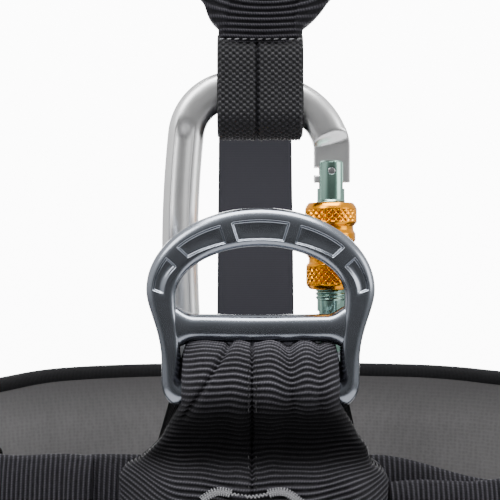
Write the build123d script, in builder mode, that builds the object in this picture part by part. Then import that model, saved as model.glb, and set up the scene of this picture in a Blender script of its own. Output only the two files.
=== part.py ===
from build123d import *

import os
from math import cos, radians, sin, sqrt, tan

# Tree climbing saddle: a padded waist belt, leg loops and shoulder straps, with a forged ring on the belly.
# A screw-lock carabiner ties the chest loop to the belt behind that ring. Millimetres, as worn and hanging empty.
# +Z is up, the wearer faces -Y, and the origin is the middle of the waist opening.
# Left is the wearer's left, +X. Every paired piece is drawn on the left and mirrored.

os.makedirs("parts", exist_ok=True)

# ---------------------------------------------------------------- driving dimensions
WAIST_X, WAIST_Y = 175, 140  # half widths of the waist opening
BELT_TILT = -5  # degrees about X: the belt's front is pulled up by the carabiner
PAD_THICK = 12
WEB_WIDE, WEB_THICK = 45, 2.5
GAP = 0.3  # between pieces that lie on each other

RING_Y = -172  # middle plane of the ventral ring
RING_THICK = 9
RING_BAR_Z, RING_BAR_R = 58.7, 4  # lower bar, which turns in the webbing
CROSSBAR_Z, CROSSBAR_TALL = 78.3, 8.6
LEG_IN, LEG_OUT = 24.2, 30.2  # faces of the ring's two legs

LINK_Y = -155  # middle plane of the carabiner
ROD_WIDE, ROD_THICK = 11.5, 10
GATE_X, GATE_R = 22.6, 4.4
HINGE_Z, LATCH_Z = 73.6, 127
GATE_TOP = 130.3
TONGUE_THICK = 4.2  # milled flats that the gate's forks straddle
TONGUE_END = 123.5
SLEEVE_LOW, SLEEVE_LONG, SLEEVE_R = 89.5, 27.5, 8.3
THREAD_R = 4.8
LOCK_BORE_R = 6.8

belt = Plane.XY.rotated((BELT_TILT, 0, 0))
ring_face = Plane(origin=(0, RING_Y, 0), x_dir=(1, 0, 0), z_dir=(0, -1, 0))
link_face = Plane(origin=(0, LINK_Y, 0), x_dir=(1, 0, 0), z_dir=(0, -1, 0))

WEB_OFF = PAD_THICK + GAP  # webbing's inner face, from the waist
TAIL_OFF = WEB_OFF + WEB_THICK + GAP


# ---------------------------------------------------------------- helpers
def save(part, label):
    """Labels a finished piece and writes it as its own STEP file."""
    part.label = label
    export_step(part, f"parts/{label}.step")


def save_pair(part, label):
    """Writes the wearer's left piece and its mirror image."""
    with BuildPart() as right:
        add(part)
        mirror(about=Plane.YZ, mode=Mode.REPLACE)
    save(part, f"{label}_left")
    save(right.part, f"{label}_right")


def bend_radii(points, share=0.45):
    """A radius for each corner: this share of its shorter run, over the tangent of half the turn."""
    corners = [Vector(*p) for p in points]
    radii = []
    for before, here, after in zip(corners, corners[1:], corners[2:]):
        turn = (here - before).get_angle(after - here)
        shorter = min((here - before).length, (after - here).length)
        radii.append(share * shorter / tan(radians(turn) / 2))
    return radii


def run(points):
    """A path of straight runs joined by the largest tangent arcs that its corners allow."""
    return FilletPolyline(*points, radius=bend_radii(points))


def across(path, normal):
    """The plane that a section is drawn in at a path's start, with X along normal."""
    return Plane(origin=path @ 0, x_dir=normal, z_dir=path % 0)


def strap(points, normal, wide, thick, lift=0):
    """Flat webbing along a flat path: normal is the direction of its width, lift moves it off the path."""
    with BuildPart() as piece:
        with BuildLine() as path:
            run(points)
        with BuildSketch(across(path.line, normal)):
            with Locations((0, lift)):
                Rectangle(wide, thick)
        sweep(path=path.line)
    return piece.part


def band(plane, half_x, half_y, off, thick, wide, sector=None):
    """A stretch of an oval band, off outside an opening of half_x by half_y, wide along the plane's normal."""
    with BuildPart() as piece:
        with BuildSketch(plane):
            Ellipse(half_x + off + thick, half_y + off + thick)
            Ellipse(half_x + off, half_y + off, mode=Mode.SUBTRACT)
            if sector:
                with BuildLine():
                    Polyline((0, 0), *sector, close=True)
                make_face(mode=Mode.INTERSECT)
        extrude(amount=wide / 2, both=True)
    return piece.part


def rays(first, last, reach=400, step=30):
    """Corner points of a wedge of the plane between two angles in degrees, cut at reach."""
    count = max(2, round((last - first) / step) + 1)
    angles = [first + (last - first) * i / (count - 1) for i in range(count)]
    return [(reach * cos(radians(a)), reach * sin(radians(a))) for a in angles]


def on_oval(plane, half_x, half_y, angle, off, height=0):
    """A plane on an oval at a parametric angle, off outside it, facing outwards, with X round the oval."""
    x, y = (half_x + off) * cos(radians(angle)), (half_y + off) * sin(radians(angle))
    outward = Vector(x / (half_x + off) ** 2, y / (half_y + off) ** 2, 0).normalized()
    here = Plane(origin=(x, y, height), x_dir=(-outward.Y, outward.X, 0), z_dir=outward)
    return Plane(plane.location * here.location)


def on_belt(angle, off, height=0):
    return on_oval(belt, WAIST_X, WAIST_Y, angle, off, height)


# ---------------------------------------------------------------- waist belt
PAD_TALL = 100
PAD_FRONT = 100  # half width of the pad's open front


def waist_pad():
    """The padded lumbar belt, open at the front, lower towards its ends."""
    with BuildPart() as piece:
        with BuildSketch(belt):
            Ellipse(WAIST_X + PAD_THICK, WAIST_Y + PAD_THICK)
            Ellipse(WAIST_X, WAIST_Y, mode=Mode.SUBTRACT)
            with Locations((0, -WAIST_Y)):
                Rectangle(2 * PAD_FRONT, WAIST_Y, mode=Mode.SUBTRACT)
        extrude(amount=PAD_TALL / 2, both=True)
        with BuildSketch(Plane.YZ.rotated((BELT_TILT, 0, 0))):
            with BuildLine():
                back, front = WAIST_Y + 20, -WAIST_Y
                top, low = PAD_TALL / 2, PAD_TALL / 3
                Polyline((back, top), (0, top - 5), (front, low), (front, -low), (0, 5 - top), (back, -top), close=True)
            make_face()
        extrude(amount=WAIST_X * 2, both=True, mode=Mode.INTERSECT)
    return piece.part


save(waist_pad(), "waist_pad")
save(band(belt, WAIST_X, WAIST_Y, WEB_OFF, WEB_THICK, WEB_WIDE), "waist_webbing")
TAIL_RAYS = rays(-70, -55.5)  # true angles of the adjuster tail's two ends
save_pair(band(belt, WAIST_X, WAIST_Y, TAIL_OFF, WEB_THICK, WEB_WIDE, TAIL_RAYS), "waist_tail")


def waist_keeper(angle=-57.8, half_angle=1.8):
    """An elastic loop round the webbing and its tail."""
    with BuildPart() as piece:
        with BuildSketch(belt):
            Ellipse(WAIST_X + TAIL_OFF + 4.4, WAIST_Y + TAIL_OFF + 4.4)
            Ellipse(WAIST_X + WEB_OFF - 1.8, WAIST_Y + WEB_OFF - 1.8, mode=Mode.SUBTRACT)
            with BuildLine():
                Polyline((0, 0), *rays(angle - half_angle, angle + half_angle), close=True)
            make_face(mode=Mode.INTERSECT)
        extrude(amount=WEB_WIDE / 2 + 2, both=True)
        with BuildSketch(belt):
            Ellipse(WAIST_X + TAIL_OFF + 3, WAIST_Y + TAIL_OFF + 3)
            Ellipse(WAIST_X + WEB_OFF - 0.4, WAIST_Y + WEB_OFF - 0.4, mode=Mode.SUBTRACT)
        extrude(amount=WEB_WIDE / 2 + 0.5, both=True, mode=Mode.SUBTRACT)
    return piece.part


save_pair(waist_keeper(), "waist_keeper")


# ---------------------------------------------------------------- slide-bar adjusters
FRAME_WIDE, FRAME_LONG = 58, 40
FRAME_TALL, FRAME_END_TALL = 8.4, 4
WINDOW_WIDE, WINDOW_LONG = 46.4, 29
BAR_R, BAR_LONG, BAR_LIFT = 2.6, 52, 5.2
BAR_TRAVEL = 6
SLOT_TALL = 5.6


def slide_frame(at):
    """An adjuster's pressed frame: two tall side rails with blind slots, joined by two low end bars."""
    with BuildPart() as piece:
        with BuildSketch(at):
            RectangleRounded(FRAME_LONG, FRAME_WIDE, 5)
            Rectangle(WINDOW_LONG, WINDOW_WIDE, mode=Mode.SUBTRACT)
        extrude(amount=FRAME_TALL)
        with BuildSketch(at.offset(FRAME_END_TALL)):
            Rectangle(FRAME_LONG, WINDOW_WIDE)
        extrude(amount=FRAME_TALL, mode=Mode.SUBTRACT)
        slot_long = BAR_TRAVEL + 2 * BAR_R + 1
        with BuildSketch(at.offset(BAR_LIFT - SLOT_TALL / 2)):
            Rectangle(slot_long, BAR_LONG + 1)
        extrude(amount=SLOT_TALL, mode=Mode.SUBTRACT)
        chamfer(piece.faces().sort_by(SortBy.AREA)[-1].edges().filter_by(GeomType.LINE)[:2], 0.4)
    return piece.part


def slide_bar(at):
    """The knurled bar that grips the webbing, at the loose end of its travel."""
    start = at.offset(BAR_LIFT)
    with BuildPart() as piece:
        with BuildSketch(Plane(origin=start.origin - at.x_dir * (BAR_TRAVEL / 2), x_dir=at.x_dir, z_dir=at.y_dir)):
            Circle(BAR_R)
        extrude(amount=BAR_LONG / 2, both=True)
    return piece.part


WAIST_BUCKLE_ANGLE = -51.5
waist_buckle = on_belt(WAIST_BUCKLE_ANGLE, WEB_OFF + WEB_THICK + GAP)
save_pair(slide_frame(waist_buckle), "waist_frame")
save_pair(slide_bar(waist_buckle), "waist_bar")


# ---------------------------------------------------------------- belly: webbing bridge and link loop
BRIDGE_WIDE, FLARE_WIDE = 47.4, 84


def ventral_bridge():
    """The gathered webbing that wraps the ring's lower bar and spreads over the belt's front."""
    with BuildPart() as piece:
        with BuildSketch(Plane.YZ):
            with Locations((RING_Y, RING_BAR_Z)):
                Circle(14.2)
            with Locations((RING_Y + 16.6, RING_BAR_Z)):
                Rectangle(20, 60, mode=Mode.SUBTRACT)
            with BuildLine():
                Polyline((-165.4, 60), (-165.4, 36), (-181, 36), (-181, 60), close=True)
            make_face()
            with Locations((RING_Y, RING_BAR_Z)):
                Circle(RING_BAR_R + 0.35, mode=Mode.SUBTRACT)
        extrude(amount=BRIDGE_WIDE / 2, both=True)
        with BuildSketch(Plane.YZ):
            with BuildLine():
                Polyline(
                    (-165.4, 40.3), (-157, 40.3), (-153.1, 37.4), (-157.2, -10), (-170, -12), (-182, 4),
                    (-186, 24), (-181, 40.3), close=True,
                )
            make_face()
        extrude(amount=FLARE_WIDE / 2, both=True)
    return piece.part


save(ventral_bridge(), "ventral_bridge")

LINK_LOOP_WIDE = 20


def link_loop():
    """The narrow loop behind the bridge that the carabiner's lower bow sits in."""
    with BuildPart() as piece:
        with BuildSketch(Plane.YZ):
            with Locations((LINK_Y, 54)):
                RectangleRounded(18.8, 27, 8)
                RectangleRounded(12.4, 20.6, 5.5, mode=Mode.SUBTRACT)
        extrude(amount=LINK_LOOP_WIDE / 2, both=True)
    return piece.part


save(link_loop(), "link_loop")


# ---------------------------------------------------------------- ventral ring
def ring_outline():
    """Face of the ring: a low arch on two straight legs, open below the arch."""
    with BuildSketch(ring_face.offset(-RING_THICK / 2)) as face:
        with BuildLine():
            EllipticalCenterArc((0, 90), 34.8, 24.9, 0, arc_size=180)
            for side in (1, -1):
                Bezier((side * 34.8, 90), (side * 34.8, 84), (side * LEG_OUT, 78), (side * LEG_OUT, 68))
                Line((side * LEG_OUT, 68), (side * LEG_OUT, RING_BAR_Z - 5))
            Line((-LEG_OUT, RING_BAR_Z - 5), (LEG_OUT, RING_BAR_Z - 5))
        make_face()
        fillet(face.vertices().group_by(Axis.Y)[0], 4.5)
        with BuildLine():
            EllipticalCenterArc((0, 88), 25.6, 15, 0, arc_size=180)
            for side in (1, -1):
                Line((side * 25.6, 88), (side * 25.4, 82))
                Line((side * 25.4, 82), (side * LEG_IN, 76))
                Line((side * LEG_IN, 76), (side * LEG_IN, 40))
            Line((-LEG_IN, 40), (LEG_IN, 40))
        make_face(mode=Mode.SUBTRACT)
    return face.sketch


POCKET_CENTRE = (0, 77)  # the pockets' end walls point at this spot
POCKET_DEEP = 0.9


def pocket_faces(plane):
    """Five shallow pockets round the arch, between two ellipses, parted by four ribs."""
    with BuildSketch(plane) as pockets:
        with Locations((0, 89)):
            Ellipse(32.6, 22)
            Ellipse(29.2, 16, mode=Mode.SUBTRACT)
        with BuildLine():
            wedge = [(60 * cos(radians(a)), 77 + 60 * sin(radians(a))) for a in range(21, 160, 6)]
            Polyline(POCKET_CENTRE, *wedge, close=True)
        make_face(mode=Mode.INTERSECT)
        for angle, wide in ((72.3, 3.2), (42.1, 4.3), (137.9, 4.3), (107.7, 3.2)):
            with Locations(Location((0, 77), angle)):
                Rectangle(90, wide, align=(Align.MIN, Align.CENTER), mode=Mode.SUBTRACT)
    return pockets.sketch


def ventral_ring():
    """The forged ring: rounded arch and legs, a fat crossbar and the round lower bar."""
    with BuildPart() as ring:
        extrude(ring_outline(), amount=RING_THICK)
        rim = ring.edges().filter_by(lambda e: abs(abs(e.center().Y - RING_Y) - RING_THICK / 2) < 0.01)
        outside = rim.filter_by(lambda e: abs(e.center().X) > 29 or e.center().Z > 104)
        fillet(outside, 3)
        for side in (1, -1):
            pockets = pocket_faces(ring_face.offset(side * RING_THICK / 2))
            extrude(pockets, amount=-side * POCKET_DEEP, mode=Mode.SUBTRACT)
        with BuildSketch(Plane.YZ):
            with Locations((RING_Y, CROSSBAR_Z)):
                RectangleRounded(RING_THICK, CROSSBAR_TALL, 3.6)
            with Locations((RING_Y, RING_BAR_Z)):
                Circle(RING_BAR_R)
        extrude(amount=LEG_IN + 3, both=True)
    return ring.part


save(ventral_ring(), "ventral_ring")


# ---------------------------------------------------------------- carabiner
MID_Z = 102  # the rod is the same above and below this height
ROOT_Z = 135.5  # where the round rod ends and the nose tongue begins
HALF_ROD = [(-25.5, 102), (-23.6, 139), (-8, 153.3), (8.5, 151), (22.9, 135.5)]  # ends of its tangent arcs
TONGUE_X = 22.9


def carabiner_body():
    """Forged rod, drawn from mid spine to the nose and mirrored, with a flat tongue at each end."""
    with BuildPart() as body:
        with BuildLine() as path:
            heading = Vector(0, 0, 1)
            for start, end in zip(HALF_ROD, HALF_ROD[1:]):
                arc = TangentArc((start[0], LINK_Y, start[1]), (end[0], LINK_Y, end[1]), tangent=heading)
                heading = arc % 1
        with BuildSketch(across(path.line, (0, 1, 0))):
            RectangleRounded(ROD_THICK, ROD_WIDE, 4.2)
        sweep(path=path.line)
        mirror(about=Plane.XY.offset(MID_Z))
        with BuildSketch(link_face.offset(-TONGUE_THICK / 2)):
            with Locations((TONGUE_X, (TONGUE_END + ROOT_Z) / 2)):
                Rectangle(ROD_WIDE, ROOT_Z - TONGUE_END + 1)
            with Locations((TONGUE_X, HINGE_Z)):
                Circle(ROD_WIDE / 2)
            with Locations((TONGUE_X, HINGE_Z - 3)):
                Rectangle(ROD_WIDE, 6)
            with Locations((TONGUE_X, HINGE_Z + 8.8)):
                Rectangle(20, 8, mode=Mode.SUBTRACT)
            with Locations((GATE_X, HINGE_Z)):
                Circle(1.9, mode=Mode.SUBTRACT)
            with Locations((GATE_X, LATCH_Z)):
                Circle(1.75, mode=Mode.SUBTRACT)
            with Locations((GATE_X - 6, LATCH_Z)):
                Rectangle(12, 3.5, mode=Mode.SUBTRACT)
        extrude(amount=TONGUE_THICK)
    return body.part


save(carabiner_body(), "carabiner_body")


def upright(radius, low, high):
    """A round bar on the gate's axis between two heights, as an object to add or cut."""
    centre = (GATE_X, LINK_Y, (low + high) / 2)
    return Cylinder(radius, high - low, mode=Mode.PRIVATE).moved(Location(centre))


def gate():
    """The gate: a round bar forked at both ends, threaded in the middle, bored for its spring."""
    with BuildPart() as piece:
        add(upright(GATE_R, HINGE_Z - 4.4, GATE_TOP))
        chamfer(piece.edges().group_by(Axis.Z)[-1], 0.5)
        add(upright(THREAD_R, 86, 118))
        add(upright(2.2, HINGE_Z, 105), mode=Mode.SUBTRACT)
        fork = TONGUE_THICK + 0.6
        with Locations((GATE_X, LINK_Y, GATE_TOP)):
            Box(20, fork, 2 * (GATE_TOP - 121.5), mode=Mode.SUBTRACT)
        with Locations((GATE_X, LINK_Y, HINGE_Z)):
            Box(20, fork, 18, mode=Mode.SUBTRACT)
        with BuildSketch(link_face.offset(-GATE_R - 1)):
            with Locations((GATE_X, HINGE_Z - GATE_R)):
                Rectangle(4 * GATE_R, 2 * GATE_R)
            with Locations((GATE_X, HINGE_Z)):
                Circle(GATE_R, mode=Mode.SUBTRACT)
                Circle(1.72)
            with Locations((GATE_X, LATCH_Z)):
                Circle(1.3)
        extrude(amount=2 * GATE_R + 2, mode=Mode.SUBTRACT)
    return piece.part


save(gate(), "gate")


def cross_pin(radius, long, height):
    """A pin across the carabiner, at this height on the gate's axis."""
    with BuildPart() as piece:
        with BuildSketch(link_face):
            with Locations((GATE_X, height)):
                Circle(radius)
        extrude(amount=long / 2, both=True)
        chamfer(piece.edges().filter_by(GeomType.CIRCLE), 0.25)
    return piece.part


save(cross_pin(1.7, 8.6, HINGE_Z), "gate_hinge_pin")
save(cross_pin(1.28, 8.5, LATCH_Z), "gate_latch_pin")

PLUNGER_LOW = HINGE_Z + 5.75  # clear of the hinge tongue as the gate opens
with BuildPart() as gate_plunger:
    add(upright(1.9, PLUNGER_LOW, PLUNGER_LOW + 9))
    add(upright(1.2, PLUNGER_LOW + 9, PLUNGER_LOW + 11.5))
save(gate_plunger.part, "gate_plunger")

SPRING_LOW, SPRING_HIGH, SPRING_WIRE = PLUNGER_LOW + 9.5, 104.5, 0.3
with BuildPart() as gate_spring:
    with BuildLine() as coil:
        Helix(pitch=1.8, height=SPRING_HIGH - SPRING_LOW - 1, radius=1.75, center=(GATE_X, LINK_Y, SPRING_LOW + 0.5))
    with BuildSketch(Plane(origin=coil.line @ 0, z_dir=coil.line % 0)):
        Circle(SPRING_WIRE)
    sweep(path=coil.line, is_frenet=True)
save(gate_spring.part, "gate_spring")


def lock_sleeve():
    """The screw sleeve, down in its unlocked place: two grip bands, a waist, and a wide bore at the top."""
    low, high = SLEEVE_LOW, SLEEVE_LOW + SLEEVE_LONG
    with BuildPart() as piece:
        with BuildSketch(Plane(origin=(GATE_X, LINK_Y, 0), x_dir=(1, 0, 0), z_dir=(0, -1, 0))):
            with BuildLine():
                Polyline(
                    (THREAD_R + 0.1, low), (6.8, low), (7.9, low + 1.6), (7.9, low + 7.5), (7.1, low + 8.5),
                    (7.1, low + 10), (7.9, low + 11), (7.9, low + 18), (7.2, low + 19), (7.2, low + 20.2),
                    (SLEEVE_R, low + 21.2), (SLEEVE_R, high - 1.8), (7.3, high), (LOCK_BORE_R, high),
                    (LOCK_BORE_R, low + 13.5), (THREAD_R + 0.1, low + 13.5), close=True,
                )
            make_face()
        revolve(axis=Axis((GATE_X, LINK_Y, 0), (0, 0, 1)))
    return piece.part


save(lock_sleeve(), "lock_sleeve")

with BuildPart() as sleeve_snap_ring:
    add(upright(6, SLEEVE_LOW + 13.7, SLEEVE_LOW + 14.6))
    add(upright(THREAD_R + 0.1, SLEEVE_LOW + 13, SLEEVE_LOW + 16), mode=Mode.SUBTRACT)
    with Locations((GATE_X, LINK_Y - 6, SLEEVE_LOW + 14)):
        Box(2, 6, 4, mode=Mode.SUBTRACT)
save(sleeve_snap_ring.part, "sleeve_snap_ring")


# ---------------------------------------------------------------- chest loop
CHEST_LOW, CHEST_HIGH = 137, 171.5
CHEST_WIDE = 27


def chest_tube(half_deep, low, thick, wide):
    """A flattened webbing loop round the carabiner's upper bow, open along X."""
    tall = CHEST_HIGH - low
    with BuildPart() as piece:
        with BuildSketch(Plane.YZ):
            with Locations((LINK_Y, low + tall / 2)):
                RectangleRounded(2 * half_deep, tall, half_deep - 1)
                RectangleRounded(2 * (half_deep - thick), tall - 2 * thick, half_deep - thick - 1, mode=Mode.SUBTRACT)
        extrude(amount=wide / 2, both=True)
    return piece.part


save(chest_tube(10.3, CHEST_LOW, 1.4, CHEST_WIDE), "chest_sleeve")


def chest_webbing():
    """The webbing inside the wear sleeve."""
    with BuildPart() as piece:
        with BuildSketch(Plane.YZ):
            with Locations((LINK_Y, (CHEST_LOW + CHEST_HIGH) / 2)):
                tall = CHEST_HIGH - CHEST_LOW
                RectangleRounded(17.4, tall - 3.2, 7.6)
                RectangleRounded(12, tall - 8.6, 5.2, mode=Mode.SUBTRACT)
        extrude(amount=CHEST_WIDE / 2 - 0.8, both=True)
    return piece.part


save(chest_webbing(), "chest_webbing")

YOKE_TOP = 198
with BuildPart() as chest_yoke:
    with BuildSketch(Plane.XY.offset(CHEST_HIGH + GAP)):
        with Locations((0, LINK_Y - 2)):
            Rectangle(26, 14)
    with BuildSketch(Plane.XY.offset(YOKE_TOP)):
        with Locations((0, LINK_Y - 8)):
            Rectangle(92, 8)
    loft()
save(chest_yoke.part, "chest_yoke")


# ---------------------------------------------------------------- shoulder straps
SHOULDER_SIDE = [
    (-163, 206), (-158, 246), (-142, 304), (-112, 368), (-64, 420), (0, 443), (66, 438), (132, 412), (180, 376),
    (204, 336),
]
STRAP_IN = 24  # distance of the strap's two lower ends from the middle
LEAN_Y, LEAN_Z = -0.123, 0.349  # how far the strap's flat path leans out, for each mm in Y and in Z


def strap_points(side):
    """Points in space of a path given by its side view, on the leaning plane of a shoulder strap."""
    y0, z0 = SHOULDER_SIDE[0]
    return [(STRAP_IN + LEAN_Y * (y - y0) + LEAN_Z * (z - z0), y, z) for y, z in side]


STRAP_NORMAL = Vector(1, -LEAN_Y, -LEAN_Z).normalized()
save_pair(strap(strap_points(SHOULDER_SIDE), STRAP_NORMAL, WEB_WIDE, WEB_THICK), "shoulder_strap")
PAD_LIFT = WEB_THICK / 2 + GAP + 4
PAD_FROM, PAD_TO = -92, 112  # the pad's two ends along Y


def shoulder_pad():
    """The padded stretch under a shoulder strap, cut square at both ends."""
    with BuildPart() as piece:
        add(strap(strap_points(SHOULDER_SIDE), STRAP_NORMAL, 62, 8, PAD_LIFT))
        with Locations((100, (PAD_FROM + PAD_TO) / 2, 400)):
            Box(400, PAD_TO - PAD_FROM, 400, mode=Mode.INTERSECT)
    return piece.part


save_pair(shoulder_pad(), "shoulder_pad")


def on_strap(index, share, lift):
    """A plane on a shoulder strap, this share of the way along one of its runs, facing outwards."""
    start, end = (Vector(*p) for p in strap_points(SHOULDER_SIDE)[index : index + 2])
    along = (end - start).normalized()
    outward = along.cross(STRAP_NORMAL).normalized()
    outward = outward if outward.Y < 0 else outward * -1
    return Plane(origin=start + (end - start) * share + outward * lift, x_dir=along, z_dir=outward)


shoulder_buckle = on_strap(1, 0.55, WEB_THICK / 2 + 1.2)
save_pair(slide_frame(shoulder_buckle), "shoulder_frame")
save_pair(slide_bar(shoulder_buckle), "shoulder_bar")

DORSAL_SIDE = [(159, -20), (158.5, 40), (170, 92), (196, 154), (209, 222), (210, 322)]
save(strap([(0, y, z) for y, z in DORSAL_SIDE], (1, 0, 0), WEB_WIDE, WEB_THICK), "dorsal_strap")

DORSAL_PLATE_Z = 352
with BuildPart() as dorsal_plate:
    with BuildSketch(Plane.XZ.offset(-215)):
        with Locations((0, DORSAL_PLATE_Z)):
            RectangleRounded(104, 58, 14)
    extrude(amount=3.2, both=False)
save(dorsal_plate.part, "dorsal_plate")


# ---------------------------------------------------------------- side and dorsal rings
SIDE_BAR_LIFT = 7.2


def d_ring(at):
    """A forged D: straight round bar along the plane's Y, bow towards its X."""
    with BuildPart() as piece:
        with BuildSketch(at):
            Ellipse(41, 32)
            with Locations((-30, 0)):
                Rectangle(60, 80, mode=Mode.SUBTRACT)
            with Locations((-2.5, 0)):
                Rectangle(5, 64)
            Ellipse(32.5, 23.5, mode=Mode.SUBTRACT)
        extrude(amount=4, both=True)
        flat = piece.edges().filter_by(lambda e: abs(abs((e.center() - at.origin).dot(at.z_dir)) - 4) < 0.01)
        chamfer(flat, 1.6)
        with BuildSketch(Plane(origin=at.origin, x_dir=at.x_dir, z_dir=at.y_dir)):
            Circle(4)
        extrude(amount=28, both=True)
    return piece.part


def ring_tab(at, wide, lift, foot):
    """The sewn webbing that holds a D-ring's bar, with a foot down to what it is sewn on."""
    with BuildPart() as piece:
        with BuildSketch(Plane(origin=at.origin, x_dir=foot.x_dir, z_dir=at.y_dir)):
            Circle(6.9)
            Circle(4.35, mode=Mode.SUBTRACT)
        extrude(amount=wide / 2, both=True)
        with BuildSketch(foot):
            Rectangle(30, wide)
        extrude(amount=lift - 5.2)
        add(Cylinder(4.35, wide + 2, mode=Mode.PRIVATE).moved(Plane(origin=at.origin, z_dir=at.y_dir).location),
            mode=Mode.SUBTRACT)
    return piece.part


SIDE_RING_ANGLE, SIDE_RING_OPEN = -22, 35
side_foot = on_belt(SIDE_RING_ANGLE, WEB_OFF + WEB_THICK + GAP + 1)
side_axis = side_foot.offset(SIDE_BAR_LIFT)
side_ring_plane = Plane(
    origin=side_axis.origin,
    x_dir=-side_axis.x_dir * cos(radians(SIDE_RING_OPEN)) + side_axis.z_dir * sin(radians(SIDE_RING_OPEN)),
    z_dir=side_axis.z_dir * cos(radians(SIDE_RING_OPEN)) + side_axis.x_dir * sin(radians(SIDE_RING_OPEN)),
)
save_pair(d_ring(side_ring_plane), "side_ring")
save_pair(ring_tab(side_ring_plane, 42, SIDE_BAR_LIFT, side_foot), "side_tab")

dorsal_foot = Plane(origin=(0, 215.3, DORSAL_PLATE_Z), x_dir=(0, 0, 1), z_dir=(0, 1, 0))
dorsal_axis = dorsal_foot.offset(SIDE_BAR_LIFT)
dorsal_ring_plane = Plane(origin=dorsal_axis.origin, x_dir=(0, 0, -1), z_dir=(0, 1, 0))
save(d_ring(dorsal_ring_plane), "dorsal_ring")
save(ring_tab(dorsal_ring_plane, 42, SIDE_BAR_LIFT, dorsal_foot), "dorsal_tab")


# ---------------------------------------------------------------- leg loops
THIGH_X, THIGH_Y = 80, 88
LEG_PAD_THICK, LEG_PAD_TALL = 9, 78
leg = Plane(origin=(103, -5, -188), x_dir=(1, 0, 0.26), z_dir=(-0.25, 0.12, 0.96))

save_pair(band(leg, THIGH_X, THIGH_Y, 0, LEG_PAD_THICK, LEG_PAD_TALL, rays(-52, 232)), "leg_pad")
LEG_WEB_OFF = LEG_PAD_THICK + GAP
save_pair(band(leg, THIGH_X, THIGH_Y, LEG_WEB_OFF, WEB_THICK, WEB_WIDE), "leg_webbing")
leg_buckle = on_oval(leg, THIGH_X, THIGH_Y, -58, LEG_WEB_OFF + WEB_THICK + GAP)
save_pair(slide_frame(leg_buckle), "leg_frame")
save_pair(slide_bar(leg_buckle), "leg_bar")


def slant(start, end, facing, wide, thick):
    """A short straight strap between two points, its face towards facing."""
    start, end = Vector(*start), Vector(*end)
    along = (end - start).normalized()
    normal = along.cross(Vector(*facing)).normalized()
    with BuildPart() as piece:
        with BuildSketch(Plane(origin=start, x_dir=normal, z_dir=along)):
            Rectangle(wide, thick)
        extrude(amount=(end - start).length)
    return piece.part


save_pair(slant((22, -163, -18), (72, -112, -128), (0, -1, 0), 25, WEB_THICK), "leg_link")
save_pair(slant((36, 145, -67), (82, 104, -160), (0, 1, 0), 20, 2), "rear_riser")


# ---------------------------------------------------------------- gear loops
GEAR_R = 3.8
GEAR_TOP, GEAR_DROP = -30, -88


def gear_loop(first, last):
    """A stiff tube hung from the belt's lower edge between two angles of the oval."""
    ends = [on_belt(a, PAD_THICK + GEAR_R + 0.8, GEAR_TOP).origin for a in (first, last)]
    down = belt.z_dir
    chord = ends[1] - ends[0]
    shape = [(0, 0), (0, 0.45), (0.13, 0.88), (0.38, 1), (0.62, 1), (0.87, 0.88), (1, 0.45), (1, 0)]
    drop = GEAR_DROP - GEAR_TOP
    points = [tuple(ends[0] + chord * u + down * (drop * v)) for u, v in shape]
    with BuildPart() as piece:
        with BuildLine() as path:
            run(points)
        with BuildSketch(across(path.line, chord.normalized())):
            Circle(GEAR_R)
        sweep(path=path.line)
    return piece.part


save_pair(gear_loop(2, 34), "gear_loop_front")
save_pair(gear_loop(40, 72), "gear_loop_rear")
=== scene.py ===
# %% [markdown]
# A tree climbing saddle is a belt, two leg loops and a pair of shoulder straps that meet at forged
# metal rings. The engineering frame gives every piece its place. This lesson gives each one its surface
# and its finish. Shapes are worked out in millimetres with numpy, as whole arrays, and are written to
# Blender meshes in metres. MM is one millimetre in metres, TAU a full turn, and RIB the distance in
# millimetres from one rib of the webbing to the next.

import bmesh
import bpy
import numpy as np
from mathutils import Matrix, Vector


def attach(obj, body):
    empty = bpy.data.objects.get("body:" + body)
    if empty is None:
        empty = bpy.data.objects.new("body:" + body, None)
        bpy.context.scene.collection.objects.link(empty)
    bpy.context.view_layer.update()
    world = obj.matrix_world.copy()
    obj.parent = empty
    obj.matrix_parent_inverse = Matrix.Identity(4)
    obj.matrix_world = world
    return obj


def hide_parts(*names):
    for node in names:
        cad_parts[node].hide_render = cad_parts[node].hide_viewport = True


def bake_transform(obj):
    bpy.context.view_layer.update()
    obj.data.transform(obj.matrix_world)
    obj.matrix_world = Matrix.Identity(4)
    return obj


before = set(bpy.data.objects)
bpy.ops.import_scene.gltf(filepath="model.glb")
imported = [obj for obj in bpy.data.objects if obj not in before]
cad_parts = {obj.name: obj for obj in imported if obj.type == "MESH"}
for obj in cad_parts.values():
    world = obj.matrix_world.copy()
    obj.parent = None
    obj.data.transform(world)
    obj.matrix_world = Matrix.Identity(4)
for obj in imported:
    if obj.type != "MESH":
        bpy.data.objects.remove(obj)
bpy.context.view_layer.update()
MM = 0.001
TAU = 2 * np.pi
RIB = 1.75

# %% [markdown]
# Every shape here is a grid: rows run along the piece, columns run round its section.
# A grid closes on itself where the piece does, and a fan of triangles closes each open end.
# The mesh's own volume says whether its faces point outwards, so no face is ever inside out.


# %% From a grid of points to a mesh
def grid_faces(rows, columns, loop_rows):
    """Four corner numbers for each cell of the grid. Columns always close, and rows close in a loop."""
    i = np.arange(rows if loop_rows else rows - 1)
    i, j = (a.ravel() for a in np.meshgrid(i, np.arange(columns), indexing="ij"))
    i2, j2 = (i + 1) % rows, (j + 1) % columns
    return np.stack([i * columns + j, i2 * columns + j, i2 * columns + j2, i * columns + j2], 1), i, j


def signed_volume(points, faces):
    """Sum over the faces of a . (b x c) / 6: positive when they point outwards."""
    a, b, c, d = (points[faces[:, k]] for k in range(4))
    return float(((a * np.cross(b, c)).sum() + (a * np.cross(c, d)).sum()) / 6)


def lengths(points):
    """Distance travelled along a line of points, starting at 0."""
    return np.concatenate([[0], np.cumsum(np.linalg.norm(np.diff(points, axis=0), axis=1))])


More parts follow.
